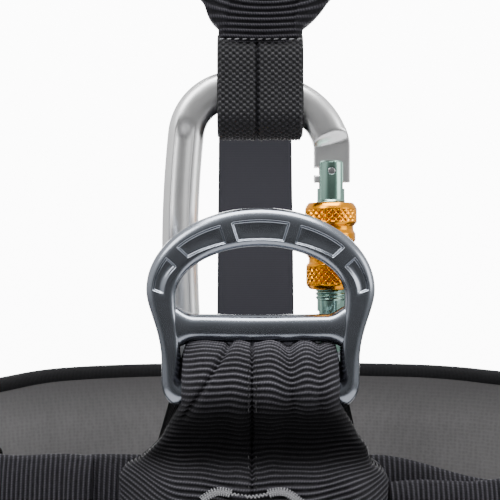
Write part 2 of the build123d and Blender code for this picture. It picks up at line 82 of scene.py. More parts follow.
def shell(name, points, loop_rows=False, finishes=(), face_finish=None, surface=None):
    """A mesh from points[row, column] in mm. Its UV map holds the way along and the way round, in metres.
    surface gives other values for it, as two [row, column] arrays in mm, so that ribs fall in step with
    relief."""
    rows, columns = points.shape[:2]
    flat = points.reshape(-1, 3)
    faces, i, j = grid_faces(rows, columns, loop_rows)
    mid = points[:, columns // 4]
    along = lengths(np.vstack([mid, mid[:1]]))
    ring = points[rows // 2]
    round_it = lengths(np.vstack([ring, ring[:1]]))
    corner_u = np.stack([along[i], along[i + 1], along[i + 1], along[i]], 1)
    corner_v = np.stack([round_it[j], round_it[j], round_it[j + 1], round_it[j + 1]], 1)
    if surface is not None:
        u, v = (np.broadcast_to(a, (rows, columns)) for a in surface)
        i2, j2 = np.minimum(i + 1, rows - 1), np.minimum(j + 1, columns - 1)
        corner_u = np.stack([u[i, j], u[i2, j], u[i2, j2], u[i, j2]], 1)
        corner_v = np.stack([v[i, j], v[i2, j], v[i2, j2], v[i, j2]], 1)
    caps = []
    if not loop_rows:
        ends = np.stack([points[0].mean(0), points[-1].mean(0)])
        flat = np.vstack([flat, ends])
        j = np.arange(columns)
        j2 = (j + 1) % columns
        first, last = rows * columns, rows * columns + 1
        caps.append(np.stack([j, j2, np.full(columns, first), np.full(columns, first)], 1))
        base = (rows - 1) * columns
        caps.append(np.stack([base + j2, base + j, np.full(columns, last), np.full(columns, last)], 1))
    quads = np.vstack([faces, *caps])
    turned = signed_volume(flat, quads) < 0
    if turned:
        faces = faces[:, ::-1]
        corner_u, corner_v = corner_u[:, ::-1], corner_v[:, ::-1]
    triangles = np.vstack(caps)[:, :3] if caps else np.zeros((0, 3), int)
    if turned:
        triangles = triangles[:, ::-1]
    mesh = bpy.data.meshes.new(name)
    mesh.vertices.add(len(flat))
    mesh.vertices.foreach_set("co", (flat * MM).astype(np.float32).ravel())
    corners = np.concatenate([faces.ravel(), triangles.ravel()]).astype(np.int32)
    mesh.loops.add(len(corners))
    mesh.loops.foreach_set("vertex_index", corners)
    starts = np.concatenate([np.arange(len(faces)) * 4, len(faces) * 4 + np.arange(len(triangles)) * 3])
    mesh.polygons.add(len(starts))
    mesh.polygons.foreach_set("loop_start", starts.astype(np.int32))
    uv = np.zeros((len(corners), 2))
    uv[: corner_u.size, 0] = corner_u.ravel() * MM
    uv[: corner_v.size, 1] = corner_v.ravel() * MM
    mesh.uv_layers.new(name="surface").data.foreach_set("uv", uv.astype(np.float32).ravel())
    for finish in finishes:
        mesh.materials.append(finish)
    if face_finish is not None:
        kinds = np.zeros(len(starts), np.int32)
        kinds[: len(faces)] = face_finish.ravel()
        mesh.polygons.foreach_set("material_index", kinds)
    mesh.update(calc_edges=True)
    mesh.validate()
    mesh.shade_smooth()
    piece = bpy.data.objects.new(name, mesh)
    bpy.context.scene.collection.objects.link(piece)
    return piece


def place(piece, body, node=None):
    """Rides a finished piece on its body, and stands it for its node."""
    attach(piece, body)
    if node:
        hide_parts(node)
    return piece


# %% [markdown]
# Most of the saddle is a section carried along a path. The path is a smooth curve through a few chosen
# points, the section is a closed outline, and two directions at each point say which way the section
# lies.


# %% Paths, sections and ovals
def smooth_path(points, count):
    """A quadratic B-spline: it starts and ends on the outer points and passes half way between the others.
    Each inner point pulls an arc (1-t)^2 a + 2 t (1-t) p + t^2 b. The result is spaced evenly."""
    p = np.array(points, float)
    ends = np.vstack([p[:1], (p[1:-2] + p[2:-1]) / 2, p[-1:]])
    t = np.linspace(0, 1, 60)[None, :, None]
    a, b, mid = ends[:-1, None], ends[1:, None], p[1:-1, None]
    dense = ((1 - t) ** 2 * a + 2 * t * (1 - t) * mid + t**2 * b).reshape(-1, p.shape[1])
    return even(dense, count)


def even(points, count):
    """The same line with its points at equal distances."""
    s = lengths(points)
    want = np.linspace(0, s[-1], count)
    return np.stack([np.interp(want, s, points[:, k]) for k in range(points.shape[1])], 1)


def unit(v):
    """Each vector at length 1."""
    return v / np.linalg.norm(v, axis=-1, keepdims=True)


def outline(half_x, half_y, corner, count):
    """A rounded rectangle as a closed line of count evenly spaced points, starting at the middle of +X."""
    corner = min(corner, half_x, half_y)
    quarter = np.linspace(0, np.pi / 2, 9)
    parts = []
    for k, (sx, sy) in enumerate(((1, 1), (-1, 1), (-1, -1), (1, -1))):
        a = quarter + k * np.pi / 2
        centre = np.array([sx * (half_x - corner), sy * (half_y - corner)])
        parts.append(centre + corner * np.stack([np.cos(a), np.sin(a)], 1))
    line = np.vstack([[[half_x, 0]], *parts, [[half_x, 0]]])
    return even(line, count + 1)[:-1]


def round_section(half_x, half_y, power, count):
    """A superellipse: |x/a|^n + |y/b|^n = 1. Power 2 is an oval, more is squarer."""
    a = np.arange(count) / count * TAU
    x = np.sign(np.cos(a)) * np.abs(np.cos(a)) ** (2 / power) * half_x
    y = np.sign(np.sin(a)) * np.abs(np.sin(a)) ** (2 / power) * half_y
    return np.stack([x, y], 1)


def carry(path, across, up, section):
    """section x goes along across and section y along up, at each point of the path."""
    section = section if section.ndim == 3 else section[None]
    return path[:, None] + across[:, None] * section[..., :1] + up[:, None] * section[..., 1:2]


def planar_frame(path, normal, loop=False):
    """For a path whose width always lies along normal: the directions across it and out of its face."""
    if loop:
        tangent = unit(np.roll(path, -1, 0) - np.roll(path, 1, 0))
    else:
        tangent = unit(np.gradient(path, axis=0))
    across = np.broadcast_to(unit(np.array(normal, float)), path.shape)
    return across, unit(np.cross(tangent, across))


def smoothstep(a, b, x):
    """0 below a, 1 above b, and 3t^2 - 2t^3 between."""
    t = np.clip((x - a) / (b - a), 0, 1)
    return t * t * (3 - 2 * t)


def bump(x, centre, half_width):
    """A bell curve of height 1."""
    return np.exp(-(((x - centre) / half_width) ** 2))


def oval(origin, x_axis, z_axis, half_x, half_y):
    """A function that puts (angle, distance outside the oval, height) in space. Arrays go in, points come
    out."""
    z = unit(np.array(z_axis, float))
    x = np.array(x_axis, float)
    x = unit(x - z * (x @ z))
    y = np.cross(z, x)

    def put(angle, off, height):
        local_x = (half_x + off) * np.cos(angle)
        local_y = (half_y + off) * np.sin(angle)
        flat = np.array(origin, float) + local_x[..., None] * x + local_y[..., None] * y
        return flat + height[..., None] * z

    return put


def oval_angles(put, first, last, count, off=0.0):
    """Angles from first to last, in radians, that are evenly spaced along the oval."""
    dense = np.linspace(first, last, 2000)
    s = lengths(put(dense, np.full(2000, off), np.zeros(2000)))
    return np.interp(np.linspace(0, s[-1], count), s, dense)


BELT_TILT = np.radians(-5)
belt = oval((0, 0, 0), (1, 0, 0), (0, -np.sin(BELT_TILT), np.cos(BELT_TILT)), 175, 140)
thigh = {
    side: oval((sign * 103, -5, -188), (1, 0, sign * 0.26), (-sign * 0.25, 0.12, 0.96), 80, 88)
    for side, sign in (("left", 1), ("right", -1))
}
SIDES = (("left", 1), ("right", -1))

# %% [markdown]
# A finish is a few layers. On cloth, threads give a fine relief that repeats at its true size, fuzz breaks up
# the light, and the colour shifts a little from thread to thread; on tape and weave the colour also carries a
# painted highlight on the crests and painted shade in the gaps. On metal, the roughness varies, and fine
# scratches and tumbling marks catch the light. All of it is worked out from the piece's own surface or place, so
# it stays put.


# %% A helper that wires a finish
class Finish:
    """A material and short ways to add its nodes."""

    def __init__(self, name):
        self.material = bpy.data.materials.new(name)
        self.material.use_nodes = True
        self.tree = self.material.node_tree
        self.shader = self.tree.nodes["Principled BSDF"]

    def node(self, kind, inputs=(), **settings):
        """A node with its inputs, each a value or another node's output."""
        made = self.tree.nodes.new(kind)
        for key, value in settings.items():
            setattr(made, key, value)
        for key, value in dict(inputs).items():
            if isinstance(value, bpy.types.NodeSocket):
                self.tree.links.new(value, made.inputs[key])
            else:
                made.inputs[key].default_value = value
        return made

    def math(self, operation, a, b=0.0, c=0.0):
        """One sum of up to three values."""
        return self.node("ShaderNodeMath", {0: a, 1: b, 2: c}, operation=operation).outputs[0]

    def noise(self, where, scale, detail=3.0, rough=0.6):
        """Cloudy noise from 0 to 1, scale lumps to the metre."""
        inputs = {"Vector": where, "Scale": scale, "Detail": detail, "Roughness": rough}
        return self.node("ShaderNodeTexNoise", inputs).outputs["Fac"]

    def wave(self, coordinate, pitch, shift=0.0):
        """sin of the way over the pitch, from -1 to 1."""
        turned = self.math("MULTIPLY_ADD", coordinate, TAU / pitch, shift)
        return self.math("SINE", turned)

    def surface(self):
        """The way along and the way round the piece, in metres, from its UV map."""
        uv = self.node("ShaderNodeUVMap", uv_map="surface").outputs[0]
        split = self.node("ShaderNodeSeparateXYZ", {0: uv})
        return split.outputs[0], split.outputs[1]

    def solid(self):
        """The point in space."""
        return self.node("ShaderNodeTexCoord").outputs["Object"]

    def blend(self, factor, low, high):
        """A colour between low and high."""
        ramp = self.node("ShaderNodeValToRGB", {"Fac": factor})
        ramp.color_ramp.elements[0].color = (*low, 1)
        ramp.color_ramp.elements[1].color = (*high, 1)
        return ramp.outputs[0]

    def range(self, value, low, high, to_low, to_high):
        """The value moved from one span to another, and clamped."""
        inputs = {"Value": value, "From Min": low, "From Max": high, "To Min": to_low, "To Max": to_high}
        return self.node("ShaderNodeMapRange", inputs).outputs[0]

    def relief(self, height, depth):
        """Fine bumps: height from 0 to 1, depth in metres."""
        made = self.node("ShaderNodeBump", {"Height": height, "Distance": depth, "Strength": 1.0})
        self.join(made.outputs[0], "Normal")

    def join(self, value, socket):
        """Sets one of the shader's inputs."""
        if isinstance(value, bpy.types.NodeSocket):
            self.tree.links.new(value, self.shader.inputs[socket])
        else:
            self.shader.inputs[socket].default_value = value


def webbing_finish(name, dark, light, rib=RIB, tick=0.8, depth=0.0002, ribbed=0.75, shade=None):
    """Ribbed tape: each rib is a row of slanting threads, with fuzz. Its colour follows the relief: a painted
    highlight on each crest and painted shade in each gap. shade gives four heights in mm for painted shade.
    Going down, the tape is painted darker from the second to the first and lighter again from the fourth to the
    third, as shade falls where folds close in on it."""
    f = Finish(name)
    along, across = f.surface()
    crest = f.range(f.wave(along, rib * MM), -0.1, 0.97, 0.0, 1.0)
    slant = f.math("MULTIPLY_ADD", along, 0.6, across)
    thread = f.range(f.wave(slant, tick * MM), -0.8, 0.8, 0.0, 1.0)
    fuzz = f.noise(f.solid(), 1500.0, 2.0)
    patch = f.noise(f.solid(), 28.0, 4.0)
    bead = f.math("MULTIPLY", crest, f.math("MULTIPLY_ADD", thread, 0.6, 0.4))
    height = f.math("MULTIPLY_ADD", fuzz, 0.35, f.math("MULTIPLY", bead, ribbed))
    # The tone follows the relief height: a painted highlight on the crests and painted shade in the gaps.
    tone = f.math("MULTIPLY", f.math("MULTIPLY_ADD", patch, 0.9, 0.45), height)
    # Painted shade: with shade given, the tone is darkened in a band of heights where folds close in, and
    # lighter again below it.
    if shade:
        up = f.node("ShaderNodeSeparateXYZ", {0: f.solid()}).outputs[2]
        painted_fold_shade = f.range(up, shade[0] * MM, shade[1] * MM, 0.1, 1.0)
        below = f.range(up, shade[2] * MM, shade[3] * MM, 0.55, 0.0)
        tone = f.math("MULTIPLY", tone, f.math("ADD", painted_fold_shade, below))
    f.join(f.blend(tone, dark, light), "Base Color")
    f.join(f.range(patch, 0.3, 0.7, 0.64, 0.8), "Roughness")
    f.relief(height, depth)
    f.join(0.09, "Specular IOR Level")
    return f.material


def weave_finish(name, dark, light, wide, tall, depth=0.00012):
    """Basket weave: short flat bundles that take turns, wide by tall in mm. It follows sin(u) sin(v). The
    bundles on top get a painted highlight and those under them painted shade.
    """
    f = Finish(name)
    along, across = f.surface()
    cells = f.math("MULTIPLY", f.wave(along, 2 * tall * MM), f.wave(across, 2 * wide * MM))
    over = f.range(cells, -0.15, 0.55, 0.0, 1.0)
    thread = f.range(f.wave(across, 0.42 * MM), -1.0, 1.0, 0.6, 1.0)
    fuzz = f.noise(f.solid(), 1400.0, 2.0)
    patch = f.noise(f.solid(), 40.0, 3.0)
    height = f.math("MULTIPLY_ADD", fuzz, 0.3, f.math("MULTIPLY", over, thread))
    # The tone follows the relief height: a painted highlight on the bundles on top and painted shade where they
    # dive under.
    tone = f.math("MULTIPLY", f.math("MULTIPLY_ADD", patch, 0.8, 0.5), height)
    f.join(f.blend(tone, dark, light), "Base Color")
    f.join(0.5, "Roughness")
    f.relief(height, depth)
    f.join(0.3, "Specular IOR Level")
    return f.material


def knit_finish(name, dark, light, cell, depth):
    """Spacer knit: small open cells all over, with fuzz, and darker higher up, from 10 mm to 28 mm in height. It
    needs no UV map."""
    f = Finish(name)
    where = f.solid()
    cells = {"Vector": where, "Scale": cell, "Randomness": 0.35}
    cells = f.node("ShaderNodeTexVoronoi", cells).outputs["Distance"]
    fuzz = f.noise(where, 900.0, 3.0)
    patch = f.noise(where, 14.0, 3.0)
    height = f.math("MULTIPLY_ADD", fuzz, 0.35, cells)
    up = f.node("ShaderNodeSeparateXYZ", {0: where}).outputs[2]
    # Darker higher up: full tone below 10 mm, a quarter of it above 28 mm.
    darker_higher = f.range(up, 0.010, 0.028, 1.0, 0.25)
    cloud = f.math("MULTIPLY_ADD", patch, 0.75, f.math("MULTIPLY", height, 0.3))
    tone = f.math("MULTIPLY", cloud, darker_higher)
    f.join(f.blend(tone, dark, light), "Base Color")
    f.join(0.9, "Roughness")
    f.relief(height, depth)
    f.join(0.3, "Sheen Weight")
    f.join(0.5, "Sheen Roughness")
    f.join(0.25, "Specular IOR Level")
    return f.material


def metal_finish(name, dark, light, rough, grain=0.00001, uneven=0.14):
    """Tumbled or anodised metal: cloudy roughness, hairline scratches and tiny dents."""
    f = Finish(name)
    where = f.solid()
    long_way = f.node("ShaderNodeMapping", {"Vector": where, "Scale": (1.0, 1.0, 0.12)}).outputs[0]
    hairs = f.noise(long_way, 1440.0, 4.0, 0.75)
    cloud = f.noise(where, 90.0, 5.0, 0.65)
    dents = f.noise(where, 700.0, 3.0, 0.6)
    f.join(f.blend(cloud, dark, light), "Base Color")
    f.join(1.0, "Metallic")
    mixed = f.math("MULTIPLY_ADD", hairs, 0.5, f.math("MULTIPLY", cloud, 0.5))
    f.join(f.range(mixed, 0.2, 0.8, rough - uneven / 2, rough + uneven / 2), "Roughness")
    f.relief(f.math("MULTIPLY_ADD", dents, 0.8, hairs), grain)
    return f.material


def moulded_finish(name, dark, light, rough=0.55):
    """Moulded plastic: fine spark-eroded grain and a soft gloss."""
    f = Finish(name)
    where = f.solid()
    grain = f.noise(where, 1800.0, 2.0, 0.5)
    cloud = f.noise(where, 35.0, 4.0)
    f.join(f.blend(cloud, dark, light), "Base Color")
    f.join(f.range(grain, 0.3, 0.7, rough - 0.08, rough + 0.08), "Roughness")
    f.relief(grain, 0.00006)
    return f.material


# %% [markdown]
# Each finish gets its two tones here, and its own scale. On cloth the two tones are the painted shade of its
# gaps and the painted highlight of its crests. Tapes also differ in how far apart their ribs stand, and metals
# in how rough they are.


# %% The finishes of this saddle
# DARK is the painted shade in the tape's gaps and PALE the painted highlight on its crests.
DARK, PALE = (0.0006, 0.0006, 0.0009), (0.072, 0.070, 0.082)
black_webbing = webbing_finish("black_webbing", DARK, PALE)
# The bridge's tape: its crests are painted lighter than black_webbing's, a stronger painted highlight, and shade
# paints shade in the hollow under the bulge round the ring's bar.
gathered_webbing = webbing_finish("gathered_webbing", DARK, (0.118, 0.115, 0.132), shade=(53, 63, 34, 40))
strap_webbing = webbing_finish(
    "dorsal_webbing", (0.020, 0.020, 0.025), (0.034, 0.034, 0.041), rib=1.1, tick=0.5, depth=0.00003,
    ribbed=0.4,
)
elastic_tape = webbing_finish(
    "elastic_tape", (0.002, 0.002, 0.002), (0.04, 0.04, 0.043), rib=0.9, tick=0.9, depth=0.00012
)
WEAVE_WIDE, WEAVE_TALL = 1.1, 0.9
wear_weave = weave_finish(
    "wear_weave", (0.0008, 0.0008, 0.0013), (0.017, 0.0165, 0.021), WEAVE_WIDE, WEAVE_TALL
)
grey_lining = knit_finish("grey_lining", (0.030, 0.029, 0.030), (0.108, 0.105, 0.106), 520.0, 0.00012)
pack_cloth = webbing_finish(
    "pack_cloth", (0.003, 0.003, 0.0034), (0.035, 0.035, 0.038), rib=0.7, tick=0.7, depth=0.00012
)
binding_tape = webbing_finish(
    "binding_tape", (0.001, 0.001, 0.0012), (0.02, 0.02, 0.022), rib=0.8, tick=0.6, depth=0.0001
)
thread_grey = webbing_finish(
    "grey_thread", (0.10, 0.10, 0.105), (0.42, 0.42, 0.44), rib=0.6, tick=0.4, depth=0.00008
)
thread_black = webbing_finish(
    "black_thread", (0.004, 0.004, 0.004), (0.10, 0.10, 0.105), rib=0.6, tick=0.4, depth=0.00008
)
forged_metal = metal_finish(
    "forged_ring", (0.23, 0.25, 0.285), (0.31, 0.335, 0.38), rough=0.23, grain=0.0000006, uneven=0.05
)
polished_metal = metal_finish(
    "polished_carabiner", (0.78, 0.785, 0.79), (0.93, 0.93, 0.93), rough=0.33, grain=0.000003
)
green_metal = metal_finish("green_anodised", (0.21, 0.37, 0.31), (0.34, 0.51, 0.44), 0.18, grain=0.000004)
gold_metal = metal_finish("gold_anodised", (0.78, 0.25, 0.0005), (0.95, 0.39, 0.001), 0.2, grain=0.000006)
buckle_metal = metal_finish("buckle_grey", (0.20, 0.205, 0.215), (0.32, 0.33, 0.345), rough=0.34)
steel = metal_finish("steel_pins", (0.5, 0.5, 0.52), (0.7, 0.7, 0.72), rough=0.22)
tube_plastic = moulded_finish("gear_tube", (0.006, 0.006, 0.0065), (0.018, 0.018, 0.019), rough=0.42)
plate_plastic = moulded_finish("dorsal_plate", (0.010, 0.010, 0.011), (0.026, 0.026, 0.028))

# %% [markdown]
# The belly ring is one forging. Its face is a band between two low arches, its back is the same, and
# five shallow pockets lighten the arch. One closed section carried round the loop makes all of it: the
# half width comes from the two arches, and the pockets push the front and back faces in where the
# formula says.


# %% The belly ring
RING_Y, RING_HALF = -172.0, 4.5
POCKET_DEPTH = 0.95


def ring_edges(arch, side, corner, bar):
    """Outer and inner edge of the loop as (x, z), matched point for point, right round once, from the
    left."""
    a = np.linspace(0, np.pi, arch)
    outer_arch = np.stack([34.8 * np.cos(a), 90 + 24.9 * np.sin(a)], 1)
    inner_arch = np.stack([25.6 * np.cos(a), 88 + 15 * np.sin(a)], 1)
    t = np.linspace(0, 1, side + 1)[1:, None]
    leg = (1 - t) ** 3 * [-34.8, 90] + 3 * t * (1 - t) ** 2 * [-34.8, 84]
    leg = leg + 3 * t**2 * (1 - t) * [-30.2, 78] + t**3 * [-30.2, 68]
    inner_leg = smooth_path([(-25.6, 88), (-25.6, 83.5), (-24.2, 78), (-24.2, 66)], side + 1)[1:]
    b = np.linspace(0, np.pi / 2, corner)
    outer_turn = np.array([-24.2, 61.7]) + np.stack([-6.0 * np.cos(b), -7.4 * np.sin(b)], 1)
    inner_turn = np.array([-22.7, 64.2]) + 1.5 * np.stack([-np.cos(b), -np.sin(b)], 1)
    straight = np.linspace(-24.2, 0, bar + 1)[1:]
    inner_straight = np.linspace(-22.7, 0, bar + 1)[1:]
    outer_bar = np.stack([straight, np.full(bar, 54.3) + 0.4 * smoothstep(-24, -16, straight)], 1)
    inner_bar = np.stack([inner_straight, np.full(bar, 62.7)], 1)
    outer_half = np.vstack([outer_arch[arch // 2 :], leg, outer_turn, outer_bar])
    inner_half = np.vstack([inner_arch[arch // 2 :], inner_leg, inner_turn, inner_bar])
    outer_back, inner_back = (half[::-1][1:-1] * [-1, 1] for half in (outer_half, inner_half))
    return np.vstack([outer_half, outer_back]), np.vstack([inner_half, inner_back])


def pocket_depth(x, z):
    """How deep the pockets are at a point of the face: full inside the band between two ellipses and away
    from the four ribs, and falling to nothing over a wall about 0.5 mm wide."""
    dz = z - 89
    low = np.hypot(x / 29.2, dz / 16.0) - 1
    high = 1 - np.hypot(x / 32.7, dz / 22.1)
    inside = np.minimum(low * 20, high * 26)
    angle = np.degrees(np.arctan2(z - 77, np.abs(x)))
    reach = np.hypot(x, z - 77)
    for rib, half in ((72.3, 1.6), (42.1, 2.1)):
        inside = np.minimum(inside, np.abs(np.radians(angle - rib)) * reach - half)
    inside = np.minimum(inside, np.radians(angle - 21.5) * reach)
    return POCKET_DEPTH * smoothstep(-0.05, 0.65, inside) + 0.18 * smoothstep(0.6, 3.0, inside)


def belly_ring():
    """The loop's closed section: a squarish oval, rounder on its outer edge, that turns round at the
    plain bar."""
    outer, inner = ring_edges(561, 42, 14, 18)
    centre, half = (outer + inner) / 2, (outer - inner) / 2
    low = smoothstep(74, 60, centre[:, 1])
    power = 4.3 - 2.3 * low
    a = (np.arange(112) + 0.5) / 112 * TAU
    spread = a + 0.22 * np.sin(2 * a)
    cos, sin = np.cos(spread)[None], np.sin(spread)[None]
    power = power[:, None] - 1.1 * (cos > 0) * (1 - low)[:, None]
    c = np.sign(cos) * np.abs(cos) ** (2 / power)
    s = np.sign(sin) * np.abs(sin) ** (2 / power)
    flat = centre[:, None] + half[:, None] * c[..., None]
    depth = (RING_HALF - 0.5 * low)[:, None] * s
    depth -= np.sign(s) * pocket_depth(flat[..., 0], flat[..., 1]) * smoothstep(0.85, 0.93, np.abs(s))
    points = np.stack([flat[..., 0], RING_Y + depth, flat[..., 1]], -1)
    return shell("belly_ring", points, loop_rows=True, finishes=[forged_metal])


def crossbar():
    """A fat bar across the loop. It sags a little in the middle and swells into both legs as a forging
    does."""
    x = np.linspace(-27, 27, 150)
    flare = smoothstep(19.5, 27, np.abs(x)) ** 1.5
    centre_z = 78.4 - 0.35 * bump(x, 0, 16)
    section = round_section(1, 1, 2.7, 56)
    tall, deep = 4.25 + 2.8 * flare, 4.45 - 0.25 * flare
    y = RING_Y + section[None, :, 0] * deep[:, None]
    z = centre_z[:, None] + section[None, :, 1] * tall[:, None]
    points = np.stack([np.broadcast_to(x[:, None], y.shape), y, z], -1)
    return shell("belly_ring_crossbar", points, finishes=[forged_metal])


ring = place(belly_ring(), "ventral_ring", "ventral_ring")
bar = place(crossbar(), "ventral_ring")
print("belly ring faces:", len(ring.data.polygons) + len(bar.data.polygons))

# %% [markdown]
# The carabiner's rod follows a chain of arcs, each starting in the direction the last one ended. An arc
# from s in direction h to e turns by twice the angle between h and e - s, and its radius is |e - s| /
# (2 sin of that angle). The spine carries a flute on both faces, and the rod is milled down to a flat
# tongue at both ends.


# %% The carabiner's centre line
def arc_chain(points, heading):
    """Points of a chain of tangent arcs in a plane, about 0.6 mm apart."""
    line, h = [], np.array(heading, float)
    for s, e in zip(np.array(points[:-1], float), np.array(points[1:], float)):
        chord = e - s
        side = np.array([-h[1], h[0]])
        side = side * np.sign(chord @ side)
        half = np.arctan2(chord @ side, chord @ h)
        radius = np.linalg.norm(chord) / (2 * np.sin(half))
        t = np.linspace(0, 2 * half, max(8, int(2 * half * radius / 0.6)))[:, None]
        line.append(s + radius * (np.sin(t) * h + (1 - np.cos(t)) * side))
        h = np.cos(2 * half) * h + np.sin(2 * half) * side
    return np.vstack([line[0], *(part[1:] for part in line[1:])])


LINK_Y, MID_Z, GATE_X, HINGE_Z, LATCH_Z = -155.0, 102.0, 22.6, 73.6, 127.0
half_rod = arc_chain([(-25.5, 102), (-23.6, 139), (-8, 153.3), (8.5, 151), (22.9, 135.5)], (0, 1))
SLOT_HALF = 1.2
slot_steps = np.array([0, 0.3, 0.7, 1.0, SLOT_HALF - 0.01, SLOT_HALF + 0.01])
slot_rows = np.concatenate([[129], LATCH_Z + slot_steps[:0:-1], LATCH_Z - slot_steps, [125.2]])
nose_rows = np.concatenate([np.linspace(135.2, 129.4, 16), slot_rows, [124.4, 123.9, 123.6, 123.5]])
nose = np.stack([np.full(len(nose_rows), 22.9), nose_rows], 1)
root_rows = np.concatenate([np.linspace(68.8, 77.6, 26), [78.1, 78.35, 78.4]])
root = np.stack([np.full(len(root_rows), 22.9), root_rows], 1)
lower = half_rod[::-1][:-1] * [1, -1] + [0, 2 * MID_Z]
rod = np.vstack([root[::-1], lower, half_rod, nose])
print("carabiner centre line:", round(float(lengths(rod)[-1]), 1), "mm long,", len(rod), "rows")


# %% [markdown]
# The body's section is carried along that centre line. Near the gate's two joints it is pressed flat into a
# tongue, and a flute runs down the spine, one in front and one behind.


# %% The carabiner's body
def carabiner_body():
    """The rod's section is a squarish oval 11.5 by 10 mm. The tongues are 4.2 mm thick, and the nose
    tongue has the slot that the latch pin drops into. The flute is 1.7 (1 - (u / 2.9)^2)^0.7 deep, u mm
    off its middle."""
    tangent = unit(np.gradient(rod, axis=0))
    outward = np.stack([-tangent[:, 1], tangent[:, 0]], 1)
    x, z = rod[:, 0], rod[:, 1]
    on_nose = (np.arange(len(rod)) >= len(rod) - len(nose)) | ((x > 15) & (z > 130))
    on_root = (np.arange(len(rod)) < len(root)) | ((x > 15) & (z < 74))
    flat = on_nose * smoothstep(139.5, 135.6, z) + on_root * smoothstep(65.0, 68.4, z)
    power = 2.75 + 9 * flat
    a = (np.arange(120) + 0.5) / 120 * TAU
    c, s = np.cos(a)[None], np.sin(a)[None]
    u = np.sign(c) * np.abs(c) ** (2 / power[:, None])
    v = np.sign(s) * np.abs(s) ** (2 / power[:, None])
    disc = np.sqrt(np.clip(5.75**2 - np.clip(z - HINGE_Z, 0, None) ** 2, 4, None))
    wide = np.where(on_root, disc, 5.75)
    end = np.where(on_nose & (z < 124), np.sqrt(np.clip(1 - ((124 - z) / 0.6) ** 2, 0, 1)), 1)
    wide = wide - 0.45 * (1 - end)
    in_slot = on_nose & (np.abs(z - LATCH_Z) < SLOT_HALF)
    wall = GATE_X - 22.9 + np.sqrt(np.clip(SLOT_HALF**2 - (z - LATCH_Z) ** 2, 0, None))
    left = np.where(in_slot, np.minimum(-wall, 5.75), wide)
    across = np.where(u < 0, u * left[:, None], u * wide[:, None])
    near = np.where(x < -15, smoothstep(42, 35, np.abs(z - MID_Z)), 0)[:, None]
    hollow = np.clip(1 - ((across - 0.2) / 2.9) ** 2, 0, 1) ** 0.7
    flute = 1.7 * near * hollow * smoothstep(0.5, 0.7, np.abs(v))
    half = (5.0 - 2.9 * flat)[:, None]
    deep = v * half - np.sign(v) * flute
    aside, up = (rod[:, None, k] + outward[:, None, k] * across for k in (0, 1))
    points = np.stack([aside, LINK_Y + deep, up], -1)
    return shell("carabiner_rod", points, finishes=[polished_metal])


place(carabiner_body(), "carabiner", "carabiner_body")

# %% [markdown]
# Small hardware keeps its exact engineering shape. A copy is welded, its long edges are broken with a
# tiny bevel, and the copy gets the finish, so that its edges catch the light as real machined edges do.


# %% A welded, bevelled copy of a small part
def refined(node, body, finish, bevel=0.25, angle=35, edit=None):
    """The node's own shape with soft edges. edit may change its points, in mm, before the bevel."""
    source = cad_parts[node]
    mesh = source.data.copy()
    mesh.transform(source.matrix_world)
    work = bmesh.new()
    work.from_mesh(mesh)
    bmesh.ops.remove_doubles(work, verts=work.verts, dist=2e-6)
    bmesh.ops.dissolve_limit(work, angle_limit=np.radians(0.5), verts=work.verts, edges=work.edges)
    work.to_mesh(mesh)
    work.free()
    if edit:
        points = np.empty(len(mesh.vertices) * 3, np.float32)
        mesh.vertices.foreach_get("co", points)
        points = edit(points.reshape(-1, 3).astype(float) / MM) * MM
        mesh.vertices.foreach_set("co", points.astype(np.float32).ravel())
    mesh.materials.clear()
    mesh.materials.append(finish)
    mesh.shade_smooth()
    mesh.set_sharp_from_angle(angle=np.radians(angle))
    piece = bpy.data.objects.new(node + "_finished", mesh)
    bpy.context.scene.collection.objects.link(piece)
    if bevel:
        soft = piece.modifiers.new("broken_edges", "BEVEL")
        soft.width, soft.segments, soft.limit_method = bevel * MM, 2, "ANGLE"
        soft.angle_limit = np.radians(angle)
        soft.harden_normals = False
    return place(piece, body, node)


def plain_rod(points):
    """The gate's thread becomes a plain rod here, and a real thread is put round it next."""
    away = points[:, :2] - [GATE_X, LINK_Y]
    r = np.linalg.norm(away, axis=1)
    inside = (r > 4.6) & (np.abs(points[:, 2] - 102) < 16.2)
    scale = np.where(inside, 4.41 / np.maximum(r, 1), 1.0)
    return np.column_stack([[GATE_X, LINK_Y] + away * scale[:, None], points[:, 2]])


refined("gate", "gate", green_metal, bevel=0.2, edit=plain_rod)
refined("gate_hinge_pin", "carabiner", steel, bevel=0.12)
refined("gate_latch_pin", "gate", steel, bevel=0.12)
refined("gate_plunger", "gate", steel, bevel=0.12)
refined("gate_spring", "gate", steel, bevel=0)
refined("sleeve_snap_ring", "sleeve_ring", steel, bevel=0.1)


# %% [markdown]
# A thread is a ridge whose height depends on how far round and how far up a point is: one turn climbs
# one pitch. The screw sleeve's knurl is two such ridges crossed, one climbing to the left and one to
# the right.


# %% The gate's thread and the screw sleeve
def turned(name, heights, radii, finish, columns=192):
    """A closed ring of rows (radius, height) turned about the gate's axis. radii has a value for every
    row and column."""
    a = np.arange(columns) / columns * TAU
    r = np.broadcast_to(radii, (len(heights), columns))
    x = GATE_X + r * np.cos(a)
    y = LINK_Y + r * np.sin(a)
    z = np.broadcast_to(np.array(heights)[:, None], r.shape)
    points = np.stack([x, y, z], -1).transpose(1, 0, 2)
    return shell(name, points, loop_rows=True, finishes=[finish])


THREAD_LEAD = 2.5


def gate_thread():
    """A two-start ridge, 0.38 mm high on r = 4.45, that climbs THREAD_LEAD mm a turn. Inside is a plain
    bore."""
    z = np.linspace(86, 118, 220)
    a = np.arange(192) / 192 * TAU
    phase = 2 * (z[:, None] / THREAD_LEAD - a[None] / TAU) % 1
    ridge = smoothstep(0.08, 0.32, phase) * smoothstep(0.92, 0.68, phase)
    fade = smoothstep(86, 86.8, z) * smoothstep(118, 117.2, z)
    outside = 4.45 + 0.38 * ridge * fade[:, None]
    inside = np.full((2, 192), 4.2)
    return turned("gate_thread", [*z, 118, 86], np.vstack([outside, inside]), green_metal)


